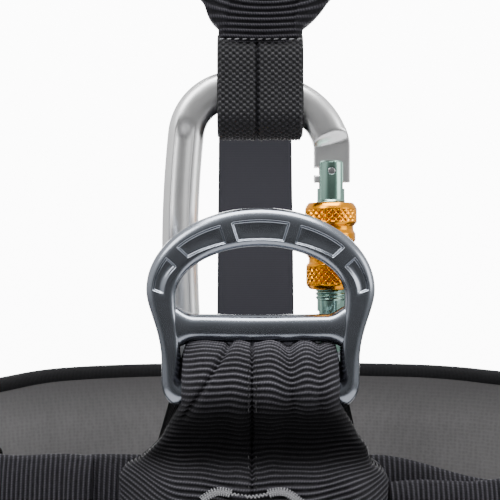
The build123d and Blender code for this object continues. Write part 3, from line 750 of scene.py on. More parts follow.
def screw_sleeve():
    """The turned profile, with a diamond knurl cut up to 0.5 mm deep into its two end bands."""
    low = 89.5
    shape = [
        (0, 5.0), (0, 6.5), (0.3, 6.95), (1.3, 7.75), (1.8, 7.9), (7.4, 7.9), (8.0, 7.65), (8.5, 7.15),
        (9.9, 7.1), (10.5, 7.5), (11.1, 7.88), (14.3, 7.9), (14.6, 7.5), (15.2, 7.5), (15.5, 7.9),
        (17.8, 7.88), (18.6, 7.4), (19.1, 7.2), (20.1, 7.2), (20.6, 7.7), (21.3, 8.28), (25.6, 8.28),
        (26.5, 7.9), (27.2, 7.4), (27.5, 7.1),
    ]
    h, r = np.array(shape).T
    rise = np.concatenate([np.linspace(0, 0.3, 4), np.linspace(0.4, 27.4, 200), [27.5]])
    radius = np.interp(rise, h, r)
    a = np.arange(384) / 384 * TAU
    around = a[None] * 7.9
    pitch = TAU * 7.9 / 22
    one = np.abs(((around + rise[:, None]) / pitch) % 1 - 0.5) * 2
    two = np.abs(((around - rise[:, None]) / pitch) % 1 - 0.5) * 2
    diamonds = smoothstep(0.0, 0.5, 1 - np.maximum(one, two))
    lower_band = smoothstep(1.7, 2.1, rise) * smoothstep(7.3, 6.9, rise)
    upper_band = smoothstep(21.4, 21.8, rise) * smoothstep(25.5, 25.1, rise)
    cut = (lower_band + upper_band)[:, None] * 0.5 * (1 - diamonds)
    inner_h = np.array([27.5, 14.2, 13.5, 13.4, 0.2])
    inner_r = np.array([6.82, 6.82, 6.7, 4.92, 4.92])
    rows = np.vstack([radius[:, None] - cut, np.repeat(inner_r[:, None], 384, 1)])
    heights = low + np.concatenate([rise, inner_h])
    return turned("screw_sleeve", heights, rows, gold_metal, columns=384)


place(gate_thread(), "gate")
sleeve = place(screw_sleeve(), "sleeve", "lock_sleeve")
print("screw sleeve faces:", len(sleeve.data.polygons))

# %% [markdown]
# Flat webbing is one shape again and again: a thin rounded section carried along a path. Near the ring
# its ribs are real relief, a sine along the path. Further away the finish draws them, and the rows are
# further apart.


# %% Webbing along a path
def tape_section(wide, thick, count=44):
    """A thin strip's outline with full round edges. The strip's width is spread evenly over the points."""
    x = np.linspace(-1, 1, count // 2)
    past = np.clip((np.abs(x) - (1 - thick / wide)) / (thick / wide), 0, 1)
    edge = np.sqrt(np.clip(1 - past**2, 0.06, 1))
    top = np.stack([x * wide / 2, edge * thick / 2], 1)
    return np.vstack([top[::-1], top * [1, -1]])


def tape(name, path, normal, wide, thick, finish, loop=False):
    """Flat webbing along a path. Its width lies along normal."""
    across, up = planar_frame(path, normal, loop)
    section = tape_section(wide, thick)
    ways = (lengths(path)[:, None], section[None, :, 0])
    return shell(name, carry(path, across, up, section), loop_rows=loop, finishes=[finish], surface=ways)


# %% [markdown]
# The chest loop is webbing round the carabiner's top, inside a wear sleeve with a coarse basket weave.
# In a basket weave the bumps follow sin(x) sin(s): where one set of threads is on top, its neighbours
# dive under.


# %% The chest loop
def loop_path(half_deep, low, high, corner, count):
    """The loop's middle line in the side plane, as points in space, evenly spaced, from the front going
    down."""
    line = outline(half_deep, (high - low) / 2, corner, count)
    y = LINK_Y - line[:, 0]
    return np.stack([np.zeros(count), y, (low + high) / 2 + line[:, 1]], 1)


def wear_sleeve():
    """A flattened tube, 27 mm wide and 1.2 mm thick, with woven relief outside and a sewn seam down its
    front."""
    path = loop_path(9.6, 137.7, 170.8, 8.6, 440)
    outer = np.linspace(-13.5, 13.5, 160)
    inner = outer[::-1][::8]
    x = np.concatenate([outer, inner])
    s = lengths(path)
    across, up = planar_frame(path, (1, 0, 0), loop=True)
    out = np.sign(((path[:1] - path.mean(0)) * up[:1]).sum())
    weave = np.sin(np.pi * outer[None] / WEAVE_WIDE) * np.sin(np.pi * s[:, None] / WEAVE_TALL)
    weave = 0.26 * np.sign(weave) * np.abs(weave) ** 0.8
    seam = -0.75 * bump(outer, -1.0, 0.42) + 0.22 * bump(outer, -2.2, 0.6) + 0.22 * bump(outer, 0.2, 0.6)
    edge = -1.1 * smoothstep(12.3, 13.5, np.abs(outer)) ** 2
    height_out = 0.42 + weave + (seam + edge)[None]
    height_in = np.full((len(s), len(inner)), -0.6)
    height = out * np.concatenate([height_out, height_in], 1)
    points = path[:, None] + across[:, None] * x[None, :, None] + up[:, None] * height[..., None]
    ways = (s[:, None], x[None])
    return shell("chest_wear_sleeve", points, loop_rows=True, finishes=[wear_weave], surface=ways)


def stitches(name, centres, ways, long, thick, finish):
    """Short threads as one mesh: each is a little closed spindle along its own way."""
    steps = np.linspace(-1, 1, 9)
    fat = np.sqrt(np.clip(1 - steps**4, 0.02, 1))
    a = np.arange(8) / 8 * TAU
    ways = unit(np.array(ways, float))
    side = unit(np.cross(ways, [0.31, 0.52, 0.79]))
    over = np.cross(ways, side)
    axis = np.array(centres, float)[:, None] + ways[:, None] * (steps * long / 2)[None, :, None]
    ring = side[:, None, None] * np.cos(a)[:, None] + over[:, None, None] * np.sin(a)[:, None]
    points = axis[:, :, None] + ring * (fat * thick / 2)[None, :, None, None]
    return many(name, points, finish)


def many(name, points, finish):
    """Several closed grids, points[piece, row, column], as one mesh."""
    count, rows, columns = points.shape[:3]
    faces = grid_faces(rows, columns, False)[0]
    caps = np.stack([np.arange(columns)[::-1], np.arange(columns) + (rows - 1) * columns])
    if signed_volume(points[0].reshape(-1, 3), faces) < 0:
        faces, caps = faces[:, ::-1], caps[:, ::-1]
    jump = (np.arange(count) * rows * columns)[:, None]
    corners = np.concatenate([(some.ravel() + jump).ravel() for some in (faces, caps)])
    sizes = np.concatenate([np.full(count * len(faces), 4), np.full(count * 2, columns)])
    mesh = bpy.data.meshes.new(name)
    mesh.vertices.add(count * rows * columns)
    mesh.vertices.foreach_set("co", (points.reshape(-1, 3) * MM).astype(np.float32).ravel())
    mesh.loops.add(len(corners))
    mesh.loops.foreach_set("vertex_index", corners.astype(np.int32))
    mesh.polygons.add(len(sizes))
    starts = np.concatenate([[0], np.cumsum(sizes)[:-1]])
    mesh.polygons.foreach_set("loop_start", starts.astype(np.int32))
    flat = points.reshape(-1, 3)[corners] * MM
    uv = np.stack([flat[:, 0] + flat[:, 1], flat[:, 2]], 1)
    mesh.uv_layers.new(name="surface").data.foreach_set("uv", uv.astype(np.float32).ravel())
    mesh.materials.append(finish)
    mesh.update(calc_edges=True)
    mesh.validate()
    mesh.shade_smooth()
    piece = bpy.data.objects.new(name, mesh)
    bpy.context.scene.collection.objects.link(piece)
    return piece


place(wear_sleeve(), "harness", "chest_sleeve")
inner_path = loop_path(7.3, 140.2, 168.2, 6.4, 240)
inner_loop = tape("chest_webbing_loop", inner_path, (1, 0, 0), 25.4, 2.5, black_webbing, loop=True)
place(inner_loop, "harness", "chest_webbing")
row_x = np.linspace(-12.2, 12.2, 11)
row_at = np.stack([row_x, np.full(11, -164.35), np.full(11, 167.7)], 1)
row_way = np.tile([1.0, 0.0, 0.12], (11, 1))
dashes = stitches("chest_sleeve_stitches", row_at, row_way, 1.6, 0.4, thread_grey)
place(dashes, "harness")


# %% [markdown]
# Above the loop two straps come together in a neck. Their ribs run across and sag in the middle, the more so
# the higher they are, as the straps part.


# %% The chest yoke
def yoke():
    """Two straps run together into a neck and part again above it. The ribs sag in the middle, so they
    run along lines of constant z - k x^2, with k growing from 0.005 to 0.016 as the straps part."""
    z = np.concatenate([np.linspace(166.9, 184, 100), np.linspace(184.4, 198, 40)])
    heights = [166.9, 168.5, 172.2, 173.4, 175, 177, 180, 184, 190, 198]
    half_x = np.interp(z, heights, [12.9, 13.3, 13.4, 15, 16.6, 18, 19.6, 23.5, 32, 46])
    half_x = np.convolve(np.pad(half_x, 3, "edge"), np.ones(7) / 7, "valid")
    half_y = np.interp(z, [166.9, 169, 173, 182, 198], [8.9, 8.9, 7.8, 5.4, 3.7])
    centre_y = np.interp(z, [166.9, 172, 198], [-155, -157, -163])
    a = (np.arange(220) + 0.5) / 220 * TAU
    c, s = np.cos(a), np.sin(a)
    x = half_x[:, None] * np.sign(c) * np.abs(c) ** (2 / 3.4)
    v = np.sign(s) * np.abs(s) ** (2 / 3.4)
    bow = 0.005 + 0.011 * smoothstep(172, 186, z)[:, None]
    rise = z[:, None] - bow * x**2 * np.interp(np.abs(x), [0, 20, 46], [1, 1, 0.5])
    ribs = 0.42 * np.sin(TAU * rise / RIB)
    lap = 0.9 * smoothstep(10.2, 11.2, np.abs(x + 0.3)) * smoothstep(188, 182, z[:, None])
    y = centre_y[:, None] + half_y[:, None] * v + np.sign(v) * np.abs(v) ** 3 * (ribs + lap)
    shift = 1.7 * bump(z, 181, 6)[:, None]
    points = np.stack([x + shift, y, np.broadcast_to(z[:, None], x.shape)], -1)
    return shell("chest_yoke_webbing", points, finishes=[black_webbing], surface=(rise, x))


place(yoke(), "harness", "chest_yoke")


# %% [markdown]
# The shoulder straps lie in a plane that leans outwards, so a strap's width always points the same way.
# The smooth path is the engineering path's own corners used as a B-spline.


# %% Shoulder straps and the strap up the back
SHOULDER_SIDE = [
    (-166, 191), (-163, 206), (-158, 246), (-142, 304), (-112, 368), (-64, 420), (0, 443), (66, 438),
    (132, 412), (180, 376), (204, 336),
]


def strap_space(side_view, sign):
    """Points in space of a side view (y, z) on the leaning plane: x = 24 - 0.123 (y + 163) + 0.349 (z -
    206)."""
    y, z = np.array(side_view, float).T
    return np.stack([sign * (24 - 0.123 * (y + 163) + 0.349 * (z - 206)), y, z], 1)


def lean(sign):
    """The direction of a shoulder strap's width."""
    return np.array([1, sign * 0.123, -sign * 0.349])


for side, sign in SIDES:
    path = smooth_path(strap_space(SHOULDER_SIDE, sign), 560)
    strap = tape(f"shoulder_webbing_{side}", path, lean(sign), 45, 2.5, black_webbing)
    place(strap, "harness", f"shoulder_strap_{side}")

DORSAL_SIDE = [(159, -20), (158.5, 40), (170, 92), (196, 154), (209, 222), (210, 324)]
dorsal_path = smooth_path([(0, y, z) for y, z in DORSAL_SIDE], 300)
dorsal = tape("dorsal_webbing", dorsal_path, (1, 0, 0), 45, 2.4, strap_webbing)
place(dorsal, "harness", "dorsal_strap")
print("straps placed")

# %% [markdown]
# The bridge is webbing gathered round the ring's lower bar. Seen from the side it is one closed
# outline: over the bar, down the front with a hollow under the bar, out over the belt, and back up
# behind. That outline is repeated across the width, and the width itself depends on height: narrow
# between the ring's legs, wide over the belt.


# %% The webbing bridge
def bridge_width(z):
    """Half width in mm at a height."""
    heights = [-12, 10, 22, 30, 33, 35, 37, 41, 45.5, 50, 53, 56, 62, 70, 74]
    widths = [34, 42, 44.5, 45, 43.5, 41.5, 38, 34, 30, 27.6, 25.8, 24, 24, 23.6, 22.6]
    return np.interp(z, heights, widths)


def bridge_outline():
    """The side view (y, z), closed, dense down the front where its ribs are seen."""
    front = [
        (-166.6, 70), (-168.3, 73.6), (-174, 74.3), (-181, 72), (-185.6, 66), (-187, 59.5),
        (-184.6, 53.5), (-179.6, 48.5), (-177.6, 43.5), (-180.6, 38.5), (-186, 34.5), (-187.2, 29),
        (-187.2, 22), (-185.6, 12), (-182, 2), (-176.5, -7),
    ]
    back = [
        (-176.5, -7), (-170, -11.6), (-163, -12), (-157.6, -9), (-154.8, 14), (-153.6, 33), (-156, 39),
        (-162, 40.4), (-165.6, 44), (-165.8, 58), (-166.6, 70),
    ]
    return np.vstack([smooth_path(front, 360)[:-1], smooth_path(back, 60)[:-1]])


def bridge():
    """Relief on the front: ribs RIB mm apart along the way down, each lower in the middle by k x^2, where
    k grows from 0 between the legs to 0.0045 over the belt. A seam runs down the middle and a long crease
    down the left, and a pucker on the right pulls the ribs down into a V. Beside the middle the front
    falls back to the belt."""
    side = bridge_outline()
    u = np.linspace(-1, 1, 210)[:, None]
    u = u - 0.06 * np.sin(np.pi * u)
    y, z = side[:, 0][None], side[:, 1][None]
    s = lengths(np.vstack([side, side[:1]]))[:-1][None]
    narrower = 0.10 * (u > 0) * u**2 * smoothstep(44, 36, z)
    x = u * bridge_width(z) * (1 - narrower)
    tangent = unit(np.roll(side, -1, 0) - np.roll(side, 1, 0))
    normal = np.stack([tangent[:, 1], -tangent[:, 0]], 1)
    if normal[120] @ [-1, 0] < 0:
        normal = -normal
    smile = 0.0045 * smoothstep(52, 30, z)
    high = smoothstep(50, 58, z)
    pull = high * (1.9 * bump(x, 8.5, 4.2) + bump(x, 17.5, 3.0) - 0.9 * bump(x, -8, 4))
    way = s + smile * x**2 - pull + 0.35 * np.sin(x / 3.3)
    ribs = 0.4 * np.sin(TAU * way / RIB)
    seam = -1.3 * bump(x, -2.6, 0.45)
    crease = -1.5 * bump(x, -10.5 - 0.62 * (72 - np.clip(z, 50, 74)), 1.0) * smoothstep(50, 54, z)
    pucker = -high * (1.5 * bump(x, 8.5 + 0.08 * (72 - z), 1.9) + 0.8 * bump(x, 17.5, 1.4))
    crowns = 0.7 * bump(x, -17, 4) + 0.7 * bump(x, -6.5, 2.6) + 0.9 * bump(x, 3, 3)
    crowns = crowns + 0.8 * bump(x, 13.4, 2.4) * high
    wide_folds = 0.7 * np.sin(TAU * x / 17 + z / 9) * smoothstep(40, 32, z)
    on_front = smoothstep(-167.5, -171, y) * smoothstep(-10, 2, z)
    lift = (ribs + seam + crease + pucker + crowns + wide_folds) * on_front
    middle = np.interp(z, [-12, 30, 45, 60, 74], [-165, -169, -172.5, -173, -171])
    blunt = 9 + 31 * smoothstep(50, 42, z)
    edge = 0.14 + 0.86 * np.sqrt(np.clip(1 - np.abs(u) ** blunt, 0, 1))
    y = middle + (y - middle) * edge
    fall = smoothstep(24, 49, np.abs(x)) * smoothstep(46, 38, z)
    belt_y = -156.4 * np.sqrt(1 - (x / 190) ** 2)
    y = y + (belt_y - 1.2 - y) * 0.93 * fall
    points = np.stack([x, y + normal[:, 0] * lift, z + normal[:, 1] * lift], -1)
    return shell("bridge_webbing", points, finishes=[gathered_webbing], surface=(way, x))


bridge_piece = place(bridge(), "harness", "ventral_bridge")
print("bridge faces:", len(bridge_piece.data.polygons))

# %% [markdown]
# Behind the bridge a narrow loop holds the carabiner's lower bow. It rides on no body.


# %% The link loop
link_line = outline(7.8, 11.9, 6.7, 130)
link_path = np.stack([np.zeros(130), LINK_Y + link_line[:, 0], 54 + link_line[:, 1]], 1)
link = tape("link_webbing_loop", link_path, (1, 0, 0), 20, 2.6, black_webbing, loop=True)
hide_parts("link_loop")
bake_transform(link)


# %% [markdown]
# Grey thread locks the bridge down in two fat zigzag tacks joined by a thin one. A zigzag is a path
# whose side step is a triangle wave, and the thread is a thin round section along it.


# %% Bar tacks and seam stitches
def bridge_front(z):
    """The front surface's y at a height, without its relief."""
    side = bridge_outline()[:359]
    return np.interp(z, side[::-1, 1], side[::-1, 0])


def zigzag(name, points, swing, pitch, thick):
    """A thread that zigzags swing mm to each side of a line (x, z) on the bridge, every pitch mm."""
    line = smooth_path(points, 2400)
    s = lengths(line)
    way = unit(np.gradient(line, axis=0))
    side = np.stack([-way[:, 1], way[:, 0]], 1)
    wave = 2 * np.abs((s / pitch) % 1 - 0.5) * 2 - 1
    flat = even(line + side * (wave * swing)[:, None], 900)
    centre = np.stack([flat[:, 0], bridge_front(flat[:, 1]) - 1.2, flat[:, 1]], 1)
    across, up = planar_frame(centre, (0, 1, 0))
    section = round_section(thick / 2, thick / 2, 2, 8)
    return shell(name, carry(centre, across, up, section), finishes=[thread_grey])


tacks = {
    "bar_tack_left": ([(-17.2, 29.2), (-14.5, 31.2), (-11.5, 31.8), (-8.8, 31.0)], 1.15, 0.75),
    "bar_tack_right": ([(2.2, 31.0), (5.0, 31.8), (8.2, 31.2), (11.8, 28.4)], 1.15, 0.75),
    "bar_tack_middle": ([(-8.8, 31.0), (-6, 30.2), (-1, 30.0), (2.2, 31.0)], 0.4, 1.1),
    "bar_tack_low": ([(-12, 17.5), (-6, 15.5), (3, 15.3), (8, 17)], 1.15, 0.75),
}
for name, (points, swing, pitch) in tacks.items():
    place(zigzag(name, points, swing, pitch, 0.42), "harness")

seam_z = np.concatenate([np.linspace(71, 55, 8), np.linspace(40, 12, 12)])
for name, x in (("bridge_seam_left", -3.6), ("bridge_seam_right", -1.4)):
    centre = np.stack([np.full(len(seam_z), x), bridge_front(seam_z) - 0.5, seam_z], 1)
    way = np.tile([0.05, 0.12, -1.0], (len(seam_z), 1))
    place(stitches(name, centre, way, 1.5, 0.4, thread_black), "harness")
print("bridge sewn")

# %% [markdown]
# Pads are blown up as cloth: a crowned shell is pinned along its rim and its quilting lines, pressed
# from inside for a few frames, and every point's move is capped. What is left between two pinned lines
# is a soft channel.


# %% Padding by cloth simulation
def puffed(piece, pinned, cap, pressure=4.0):
    """Runs the cloth for 20 frames without gravity, then keeps each move up to cap mm and subdivides
    once."""
    count = len(piece.data.vertices)
    sewn = piece.vertex_groups.new(name="sewn")
    sewn.add([int(i) for i in np.flatnonzero(pinned)], 1.0, "REPLACE")
    cloth = piece.modifiers.new("padding", "CLOTH")
    cloth.settings.use_pressure = True
    cloth.settings.uniform_pressure_force = pressure
    cloth.settings.effector_weights.gravity = 0
    cloth.settings.vertex_group_mass = "sewn"
    cloth.settings.quality = 5
    scene = bpy.context.scene
    for frame_number in range(1, 21):
        scene.frame_set(frame_number)
    blown = piece.evaluated_get(bpy.context.evaluated_depsgraph_get()).data
    after, before = np.empty(count * 3, np.float32), np.empty(count * 3, np.float32)
    blown.vertices.foreach_get("co", after)
    piece.data.vertices.foreach_get("co", before)
    move = (after - before).reshape(-1, 3)
    far = np.linalg.norm(move, axis=1, keepdims=True) + 1e-9
    kept = before.reshape(-1, 3) + move * np.minimum(1, cap * MM / far)
    piece.modifiers.remove(cloth)
    scene.frame_set(1)
    piece.data.vertices.foreach_set("co", kept.astype(np.float32).ravel())
    piece.data.update()
    print(piece.name, "swelled by up to", round(float(far.max() / MM), 1), "mm before the cap")
    finer = piece.modifiers.new("finer", "SUBSURF")
    finer.levels = finer.render_levels = 1
    return piece


def true_to_oval(angle, half_x, half_y):
    """The oval's own angle for a direction seen from its middle, in degrees both ways."""
    a = np.radians(angle)
    turns = np.floor((a + np.pi) / TAU)
    return np.degrees(np.arctan2(half_x * np.sin(a), half_y * np.cos(a)) + TAU * turns)


def pad_grid(put, angles, thick, heights, count, power=4.4):
    """Rows of a crowned section round an oval. heights is how far it reaches up and down at each row.
    Both ends close softly over their last 14 mm."""
    start = lengths(put(angles, np.full(len(angles), thick / 2), np.zeros(len(angles))))
    near = np.clip(np.minimum(start, start[-1] - start) / 14, 0, 1)
    close = np.sqrt(1 - (1 - near) ** 2)
    section = round_section(1, 1, power, count)
    off = thick / 2 + section[None, :, 0] * (thick / 2 * (0.32 + 0.68 * close))[:, None]
    tall = np.where(section[:, 1] > 0, *(side[:, None] for side in heights))
    height = section[None, :, 1] * tall * (0.74 + 0.26 * close)[:, None]
    return put(np.repeat(angles[:, None], count, 1), off, height)


def rim_loop(put, angles, thick, heights, count, inset=0.955):
    """The pad's rim as one closed line: along the top, round one end, along the bottom, round the other."""
    middle = np.full(len(angles), thick / 2)
    start = lengths(put(angles, middle, np.zeros(len(angles))))
    near = np.clip(np.minimum(start, start[-1] - start) / 14, 0, 1)
    share = (0.74 + 0.26 * np.sqrt(1 - (1 - near) ** 2)) * inset
    top = put(angles, middle, share * heights[0])
    low = put(angles, middle, -share * heights[1])
    line = np.vstack([top, low[::-1], top[:1]])
    return even(line, count + 1)[:-1]


def bound_edge(name, line, facing, wide, thick):
    """A rounded tape tube along a closed rim. facing points out of the pad's face at every row."""
    tangent = unit(np.roll(line, -1, 0) - np.roll(line, 1, 0))
    out = unit(facing - tangent * (facing * tangent).sum(1, keepdims=True))
    side = np.cross(tangent, out)
    section = round_section(thick / 2, wide / 2, 2.6, 20)
    return shell(name, carry(line, out, side, section), loop_rows=True, finishes=[binding_tape])


# %% [markdown]
# The waist pad is open at the front, tallest at the back, and lower towards its two ends. It is lined
# with a grey knit and faced with dark pack cloth, and a tape binds its rim.

# %% The waist pad
PAD_COLUMNS = 52
pad_first, pad_last = np.radians(-55.6), np.radians(235.6)
pad_angles = oval_angles(belt, pad_first, pad_last, 168, off=6)


def pad_low(angles):
    """Depth of the lower edge by the distance to the back: 33 mm at the front, 45 at the sides, 50
    behind."""
    return np.interp(146 * np.sin(angles), [-140, 0, 160], [33.3, 45, 49.5])


def pad_top(angles):
    """Height of the upper edge. It is highest behind, and falls away sooner on the wearer's right."""
    y = 146 * np.sin(angles)
    left = np.interp(y, [-140, 0, 60, 95, 120, 140], [33, 39.5, 40.5, 42.5, 46.8, 48])
    right = np.interp(y, [-140, 0, 60, 89, 106, 122, 140], [33, 35.5, 35.8, 37.2, 43.5, 46, 47.6])
    blend = smoothstep(-60, 60, 181 * np.cos(angles))
    top = left * blend + right * (1 - blend)
    return np.convolve(np.pad(top, 4, "edge"), np.ones(9) / 9, "valid")


pad_heights = (pad_top(pad_angles), pad_low(pad_angles))
pad_points = pad_grid(belt, pad_angles, 11.4, pad_heights, PAD_COLUMNS)
section_out = round_section(1, 1, 4.4, PAD_COLUMNS)
next_out = (section_out[:, 0] + np.roll(section_out[:, 0], -1)) / 2
kinds = np.broadcast_to((next_out > 0).astype(int), (len(pad_angles) - 1, PAD_COLUMNS))
waist_pad = shell("waist_pad_cushion", pad_points, finishes=[grey_lining, pack_cloth], face_finish=kinds)
sewn_rim = np.abs(section_out[:, 1]) > 0.955
quilt_at = np.radians([-36, -8, 20, 52.3, 58.9, 130.7, 160, 188, 216])
sewn_rows = np.abs(pad_angles[:, None] - quilt_at[None]).min(1) < 0.014
pins = np.append((sewn_rows[:, None] | sewn_rim[None]).ravel(), [True, True])
puffed(waist_pad, pins, 2.4)
place(waist_pad, "harness", "waist_pad")
rim = rim_loop(belt, pad_angles, 11.4, pad_heights, 700)
outward = unit(rim * [1 / 175**2, 1 / 140**2, 0])
place(bound_edge("waist_pad_binding", rim, outward, 8.6, 10.6), "harness")


# %% [markdown]
# The waist webbing runs all the way round. Its front is what the picture looks at, so its ribs there
# are real: rows are 0.3 mm apart. On the wearer's left it bunches down, and on the right it is pinched
# twice.


# %% Waist webbing, tails and keepers
def band(put, angles, off, thick, top, low, relief, columns=56):
    """Points of flat webbing round an oval, thick from off outwards. top, low and relief are mm for each
    row."""
    section = tape_section(2, thick, columns)
    h = np.clip(section[:, 0], -1, 1)
    height = np.where(h > 0, h * np.array(top)[:, None], h * np.array(low)[:, None])
    face = smoothstep(0.1, 0.45, np.abs(section[:, 1]) / thick) * np.sign(section[:, 1])
    outwards = off + thick / 2 + section[None, :, 1] + face[None] * relief
    return put(np.repeat(angles[:, None], columns, 1), outwards, height)


def mirrored(points, sign):
    """The points themselves on the left, and their mirror image on the right."""
    return points if sign > 0 else points * [-1, 1, 1]


near_front = oval_angles(belt, np.radians(-122), np.radians(-58), 690, off=13.5)
rest = oval_angles(belt, np.radians(-58), np.radians(238), 300, off=13.5)[1:-1]
turn = np.concatenate([near_front, rest])
at = belt(turn, np.full(len(turn), 13.5), np.zeros(len(turn)))
x_at, in_front = at[:, 0], at[:, 1] < -60
s_at = lengths(at)
rib_wave = np.where(np.arange(len(turn)) < len(near_front), 0.4 * np.sin(TAU * s_at / RIB), 0)
pinch = -1.3 * bump(x_at, -58, 1.3) - 1.2 * bump(x_at, -66.5, 1.2) + 0.8 * bump(x_at, -62, 2.2)
wavy = 0.5 * np.sin(x_at / 4.6) * smoothstep(95, 60, np.abs(x_at))
bunch = np.where(in_front, smoothstep(36, 82, x_at) * smoothstep(100, 88, x_at), 0)
dip = np.where(in_front, 1.6 * smoothstep(-50, -70, x_at) * smoothstep(-98, -86, x_at), 0)
relief = np.repeat((rib_wave + np.where(in_front, pinch + wavy, 0))[:, None], 60, 1)
web_points = band(
    belt, turn, 12.4, 2.5, 22.5 - 9.5 * bunch - dip, np.full(len(turn), 22.5), relief * 0.9, columns=60
)
web_surface = (s_at[:, None], (web_points - at[:, None])[..., 2])
waist_web = shell(
    "waist_webbing_band", web_points, loop_rows=True, finishes=[black_webbing], surface=web_surface
)
place(waist_web, "harness", "waist_webbing")

for side, sign in SIDES:
    first = -74.6 if sign > 0 else -70
    ends = [true_to_oval(a, 190.1, 155.1) for a in (first, -55.5)]
    angles = oval_angles(belt, np.radians(ends[0]), np.radians(ends[1]), 190, off=16.3)
    s = lengths(belt(angles, np.full(190, 16.3), np.zeros(190)))
    folded = 0.7 * smoothstep(9.5, 8.5, s)
    ribs = 0.4 * np.sin(TAU * s / RIB)
    top = np.full(190, 13.9 if sign > 0 else 22.0) + 0.5 * np.sin(s / 6)
    points = mirrored(band(belt, angles, 15.2, 2.4, top, np.full(190, 22.0), (ribs + folded)[:, None]), sign)
    ways = (s[:, None], points[..., 2])
    tail = shell(f"waist_tail_webbing_{side}", points, finishes=[black_webbing], surface=ways)
    place(tail, "harness", f"waist_tail_{side}")


def belt_frame(angle, off, height=0.0):
    """Origin, direction round the oval, direction outwards and direction up, at a place on the oval
    (degrees)."""
    a = np.radians(angle)
    steps = np.array([[0, 0], [1e-4, 0], [0, 1]])
    spot, ahead, above = belt(a + steps[:, 0], np.full(3, off), height + steps[:, 1])
    along, up = unit(ahead - spot), unit(above - spot)
    return spot, along, np.cross(along, up), up


for side, sign in SIDES:
    spot, along, out, up = belt_frame(true_to_oval(-55.4, 190, 155), 15.0)
    line = outline(4.1, 23.8, 3.0, 240)
    path = mirrored(spot + line[:, :1] * out + line[:, 1:] * up, sign)
    name = f"waist_keeper_band_{side}"
    keeper = tape(name, path, mirrored(along, sign), 9.6, 1.2, elastic_tape, loop=True)
    place(keeper, "harness", f"waist_keeper_{side}")
print("belt webbing placed")


# %% [markdown]
# A D-ring hangs in a webbing tab. Seen from the end, the tab leaves the belt, goes round the ring's bar
# and comes back: a keyhole. The grip bars are round with fine lengthwise flutes, r = 2.6 - 0.07 (1 +
# cos 20 a).


# %% Tabs, rings, frames and bars
def keyhole(spot, along, out, radius, rise, reach, count=120):
    """The tab's middle line: flat, round a bar that stands rise above the foot, and flat again."""
    a = np.radians(np.linspace(222, -42, 40))
    bend = np.stack([radius * np.cos(a), rise + radius * np.sin(a)], 1)
    foot = np.array([[reach * 0.62, 0.3], [reach, 0.2]])
    line = even(np.vstack([foot[::-1] * [-1, 1], bend, foot]), count)
    return spot + line[:, :1] * along + line[:, 1:] * out


for side, sign in SIDES:
    spot, along, out, up = belt_frame(-22, 16.3)
    path = mirrored(keyhole(spot, along, out, 5.55, 7.0, 15), sign)
    tab = tape(f"side_tab_webbing_{side}", path, mirrored(up, sign), 42, 2.2, black_webbing)
    place(tab, "harness", f"side_tab_{side}")
    refined(f"side_ring_{side}", f"side_ring_{side}", forged_metal, bevel=0.5, angle=25)

back_tab = keyhole(np.array([0, 216.5, 352.0]), np.array([0, 0, 1.0]), np.array([0, 1.0, 0]), 5.55, 6.0, 15)
back_tape = tape("dorsal_tab_webbing", back_tab, (1, 0, 0), 42, 2.2, black_webbing)
place(back_tape, "harness", "dorsal_tab")
refined("dorsal_ring", "dorsal_ring", forged_metal, bevel=0.5, angle=25)
refined("dorsal_plate", "harness", plate_plastic, bevel=0.9, angle=50)


def grip_bar(node, body):
    """A fluted bar in the place of the node: its axis is the direction in which the node's points spread
    most."""
    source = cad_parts[node]
    points = np.array([source.matrix_world @ v.co for v in source.data.vertices]) / MM
    centre = (points.min(0) + points.max(0)) / 2
    axis = np.linalg.svd(points - points.mean(0), full_matrices=False)[2][0]
    half = np.abs((points - centre) @ axis).max() - 0.05
    side = unit(np.cross(axis, [0.3, 0.5, 0.8]))
    a = np.arange(160) / 160 * TAU
    t = np.concatenate([[-1, -0.995, -0.985], np.linspace(-0.9, 0.9, 24), [0.985, 0.995, 1]])
    plain = np.interp(np.abs(t), [0, 0.9, 0.985, 0.995, 1], [2.6, 2.6, 2.6, 2.45, 2.2])
    flute = 0.07 * (1 + np.cos(20 * a))[None] * smoothstep(0.9, 0.85, np.abs(t))[:, None]
    section = np.stack([np.cos(a), np.sin(a)], 1)[None] * (plain[:, None] - flute)[..., None]
    path = centre + (t * half)[:, None] * axis
    across = np.broadcast_to(side, path.shape)
    over = np.broadcast_to(np.cross(axis, side), path.shape)
    bar_piece = shell(node + "_fluted", carry(path, across, over, section), finishes=[steel])
    return place(bar_piece, body, node)


for side, sign in SIDES:
    refined(f"waist_frame_{side}", "harness", buckle_metal, bevel=0.5)
    refined(f"shoulder_frame_{side}", "harness", buckle_metal, bevel=0.5)
    refined(f"leg_frame_{side}", f"leg_{side}", buckle_metal, bevel=0.5)
    for kind in ("waist", "shoulder", "leg"):
        grip_bar(f"{kind}_bar_{side}", f"{kind}_bar_{side}")
print("hardware placed")


# %% [markdown]
# Gear loops are stiff tubes hung from the belt's lower edge. Each end sits in a small webbing anchor.


# %% Gear loops
def gear_path(first, last):
    """The tube's middle line: a U between two places on the belt, 58 mm deep."""
    ends = [belt_frame(a, 16.6, -30)[0] for a in (first, last)]
    up = belt_frame(first, 16.6, -30)[3]
    shape = [(0, 0), (0, 0.45), (0.06, 0.86), (0.26, 1), (0.5, 1), (0.74, 1), (0.94, 0.86), (1, 0.45), (1, 0)]
    return smooth_path([ends[0] + (ends[1] - ends[0]) * u - up * 58 * v for u, v in shape], 260)


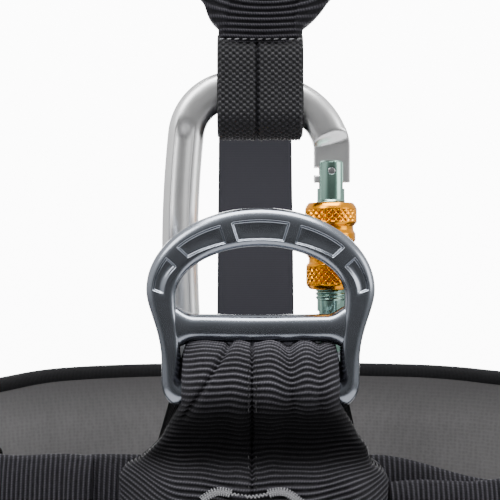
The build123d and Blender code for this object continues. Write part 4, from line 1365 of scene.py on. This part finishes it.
for side, sign in SIDES:
    for kind, (first, last) in (("front", (2, 34)), ("rear", (40, 72))):
        path = gear_path(first, last)
        tangent = unit(np.gradient(path, axis=0))
        plane_normal = unit(np.cross(path[130] - path[0], path[-1] - path[0]))
        across = np.broadcast_to(plane_normal, path.shape)
        s = lengths(path)
        groove = 0.28 * bump((s / 7.5) % 1, 0.5, 0.09) * smoothstep(8, 14, np.minimum(s, s[-1] - s))
        section = round_section(1, 1, 2, 32)[None] * (3.75 - groove)[:, None, None]
        points = mirrored(carry(path, across, np.cross(tangent, across), section), sign)
        tube = shell(f"gear_tube_{kind}_{side}", points, finishes=[tube_plastic])
        place(tube, f"gear_loop_{kind}_{side}", f"gear_loop_{kind}_{side}")
        for end, angle in (("a", first), ("b", last)):
            spot, along, out, up = belt_frame(angle, 13.2, -27.5)
            line = mirrored(keyhole(spot, along, out, 4.75, 3.6, 11, 70), sign)
            name = f"gear_anchor_{kind}_{end}_{side}"
            anchor = tape(name, line, mirrored(up, sign), 11, 1.4, black_webbing)
            place(anchor, "harness")
print("gear loops placed")

# %% [markdown]
# Each leg loop has a pad, its webbing, an adjuster and two short straps up to the belt. The straps run from the
# belt to the leg loop and ride on no body.


# %% Leg loops
LEG_PAD_COLUMNS = 40
leg_first, leg_last = (np.radians(true_to_oval(a, 84.5, 92.5)) for a in (-50, 230))

for side, sign in SIDES:
    put = thigh[side]
    angles = oval_angles(put, leg_first, leg_last, 104, off=4.5)
    if sign < 0:
        angles = np.pi - angles
    points = pad_grid(put, angles, 8.6, (np.full(104, 38.6),) * 2, LEG_PAD_COLUMNS)
    outwards = round_section(1, 1, 4.4, LEG_PAD_COLUMNS)
    kinds = ((outwards[:, 0] + np.roll(outwards[:, 0], -1)) > 0).astype(int)
    kinds = np.broadcast_to(kinds, (103, LEG_PAD_COLUMNS))
    cushion = shell(f"leg_pad_cushion_{side}", points, finishes=[grey_lining, pack_cloth], face_finish=kinds)
    rows_pinned = np.isin(np.arange(104), [14, 34, 52, 70, 90])
    held = np.append((rows_pinned[:, None] | (np.abs(outwards[:, 1]) > 0.955)[None]).ravel(), [True, True])
    puffed(cushion, held, 2.2)
    place(cushion, f"leg_{side}", f"leg_pad_{side}")
    rim = rim_loop(put, angles, 8.6, (np.full(104, 38.6),) * 2, 420)
    middle = put(np.zeros(1), np.full(1, -80.0), np.zeros(1))
    binding = bound_edge(f"leg_pad_binding_{side}", rim, unit(rim - middle), 5.6, 7.6)
    place(binding, f"leg_{side}")
    turn = oval_angles(put, 0, TAU, 361, off=10.5)[:-1]
    web = band(put, turn, 9.45, 2.4, np.full(360, 22.5), np.full(360, 22.5), np.zeros((360, 1)), columns=48)
    web = shell(f"leg_webbing_band_{side}", web, loop_rows=True, finishes=[black_webbing])
    place(web, f"leg_{side}", f"leg_webbing_{side}")


def link_strap(name, node, side, sign, points, facing, wide, thick, finish):
    """A short strap through points, from the belt at its first to the leg loop at its last. It rides on no body.
    """
    path = smooth_path([(sign * x, y, z) for x, y, z in points], 130)
    across = unit(np.cross(path[-1] - path[0], facing))
    strap_piece = tape(name, path, across, wide, thick, finish)
    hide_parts(node)
    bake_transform(strap_piece)


FRONT_LINK = [
    (20, -168, -6), (23, -164.5, -22), (38, -148, -55), (56, -128, -92), (70, -113.5, -124), (73, -110, -131),
]
REAR_RISER = [
    (35, 147.5, -58), (36.5, 146, -70), (50, 134, -96), (66, 119, -128), (80, 105.5, -156), (83, 102, -163),
]
for side, sign in SIDES:
    link = (f"leg_link_webbing_{side}", f"leg_link_{side}", side, sign)
    link_strap(*link, FRONT_LINK, (0, -1, 0), 25, 2.4, black_webbing)
    riser = (f"rear_riser_tape_{side}", f"rear_riser_{side}", side, sign)
    link_strap(*riser, REAR_RISER, (0, 1, 0), 20, 1.9, elastic_tape)


# %% [markdown]
# The shoulder pads lie under the straps, on the side of the wearer.

# %% Shoulder pads
for side, sign in SIDES:
    path = smooth_path(strap_space(SHOULDER_SIDE, sign), 560)
    path = even(path[(path[:, 1] > -91) & (path[:, 1] < 111)], 62)
    across, up = planar_frame(path, lean(sign))
    s = lengths(path)
    near = np.clip(np.minimum(s, s[-1] - s) / 12, 0, 1)
    close = np.sqrt(1 - (1 - near) ** 2)
    outline_60 = round_section(1, 1, 4.4, 36)
    section = outline_60[None] * np.stack([31 * (0.8 + 0.2 * close), 3.9 * (0.3 + 0.7 * close)], 1)[:, None]
    section[..., 1] += 5.45
    kinds = np.broadcast_to(((outline_60[:, 1] + np.roll(outline_60[:, 1], -1)) < 0).astype(int), (61, 36))
    cushion = shell(
        f"shoulder_pad_cushion_{side}", carry(path, across, up, section), finishes=[grey_lining, pack_cloth],
        face_finish=kinds,
    )
    held = np.isin(np.arange(62), [15, 31, 46])[:, None] | (np.abs(outline_60[:, 0]) > 0.94)[None]
    puffed(cushion, np.append(held.ravel(), [True, True]), 1.8)
    place(cushion, "harness", f"shoulder_pad_{side}")
    edge = np.stack([30.2 * (0.8 + 0.2 * close), np.full(62, 5.45)], 1)
    top = path + across * edge[:, :1] + up * edge[:, 1:]
    low = path - across * edge[:, :1] + up * edge[:, 1:]
    rim = even(np.vstack([top, low[::-1], top[:1]]), 301)[:-1]
    nearest = np.argmin(np.linalg.norm(rim[:, None] - path[None], axis=2), 1)
    place(bound_edge(f"shoulder_pad_binding_{side}", rim, up[nearest], 5.0, 6.6), "harness")
print("pads placed")

# %% [markdown]
# The studio is plain: a pale floor, a bright sky behind the object and a darker room in front of it, so
# that polished metal has something dark to reflect beside the white. Big soft lights stand left, right
# and above.


# %% Floor, sky and lights
def floor():
    """A flat pale round slab under everything, 1.8 m across and 20 mm thick."""
    a = np.linspace(0, TAU, 129)[:-1]
    r = np.concatenate([np.linspace(0.05, 900, 10), np.linspace(900, 0.05, 3)])
    z = np.where(np.arange(13) < 10, FLOOR_Z, FLOOR_Z - 20)
    x, y = r[:, None] * np.cos(a), r[:, None] * np.sin(a)
    points = np.stack([x, y, np.broadcast_to(z[:, None], x.shape)], -1)
    piece = shell("floor", points, finishes=[paper_finish()])


def paper_finish():
    """Matt paper, a little cloudy."""
    f = Finish("paper_floor")
    f.join(f.blend(f.noise(f.solid(), 3.0), (0.60, 0.60, 0.61), (0.66, 0.66, 0.67)), "Base Color")
    f.join(0.9, "Roughness")
    return f.material


FLOOR_Z = -330.0


def sky():
    """World light by direction: very strong straight behind, dark straight in front, and dimmer below."""
    world = bpy.data.worlds.new("studio")
    world.use_nodes = True
    bpy.context.scene.world = world
    tree = world.node_tree
    split = tree.nodes.new("ShaderNodeSeparateXYZ")
    tree.links.new(tree.nodes.new("ShaderNodeTexCoord").outputs["Generated"], split.inputs[0])

    def ramp(axis, low, high, to_low, to_high):
        """A soft step along one direction of the sky."""
        made = tree.nodes.new("ShaderNodeMapRange")
        made.interpolation_type = "SMOOTHSTEP"
        for key, value in {"From Min": low, "From Max": high, "To Min": to_low, "To Max": to_high}.items():
            made.inputs[key].default_value = value
        tree.links.new(split.outputs[axis], made.inputs["Value"])
        return made.outputs[0]

    around = tree.nodes.new("ShaderNodeMath")
    around.operation = "MULTIPLY"
    tree.links.new(ramp(1, -0.98, -0.50, 0.24, 1.05), around.inputs[0])
    tree.links.new(ramp(2, -0.45, 0.30, 0.28, 1.0), around.inputs[1])
    total = tree.nodes.new("ShaderNodeMath")
    tree.links.new(around.outputs[0], total.inputs[0])
    tree.links.new(ramp(1, 0.935, 0.955, 0.0, 11.0), total.inputs[1])
    tree.links.new(total.outputs[0], tree.nodes["Background"].inputs["Strength"])
    tree.nodes["Background"].inputs["Color"].default_value = (1, 1, 1, 1)


def soft_light(name, place_m, aim_m, size, watts):
    """A square area light at one point, turned to another."""
    data = bpy.data.lights.new(name, "AREA")
    data.shape, data.size, data.energy = "SQUARE", size, watts
    lamp = bpy.data.objects.new(name, data)
    lamp.location = place_m
    direction = Vector(aim_m) - Vector(place_m)
    lamp.rotation_euler = direction.to_track_quat("-Z", "Y").to_euler()
    bpy.context.scene.collection.objects.link(lamp)


floor()
sky()
soft_light("key", (-0.9, -1.1, 1.1), (0, -0.1, 0.08), 0.7, 12)
soft_light("fill", (1.3, -0.7, 0.5), (0, -0.1, 0.08), 0.8, 8)
soft_light("top", (0.0, -0.30, 1.05), (0, -0.17, 0.08), 0.85, 30)

# %% [markdown]
# The camera stands level in front of the belly ring, close enough that the ring is much larger than the
# belt's back.


# %% Camera
camera_data = bpy.data.cameras.new("camera")
camera_data.lens, camera_data.sensor_width = 85.5, 36.0
camera_data.clip_start, camera_data.clip_end = 0.01, 50.0
camera = bpy.data.objects.new("camera", camera_data)
camera.location = (-0.0032, -0.534, 0.102)
camera.rotation_euler = (np.pi / 2, 0, 0)
bpy.context.scene.collection.objects.link(camera)
bpy.context.scene.camera = camera
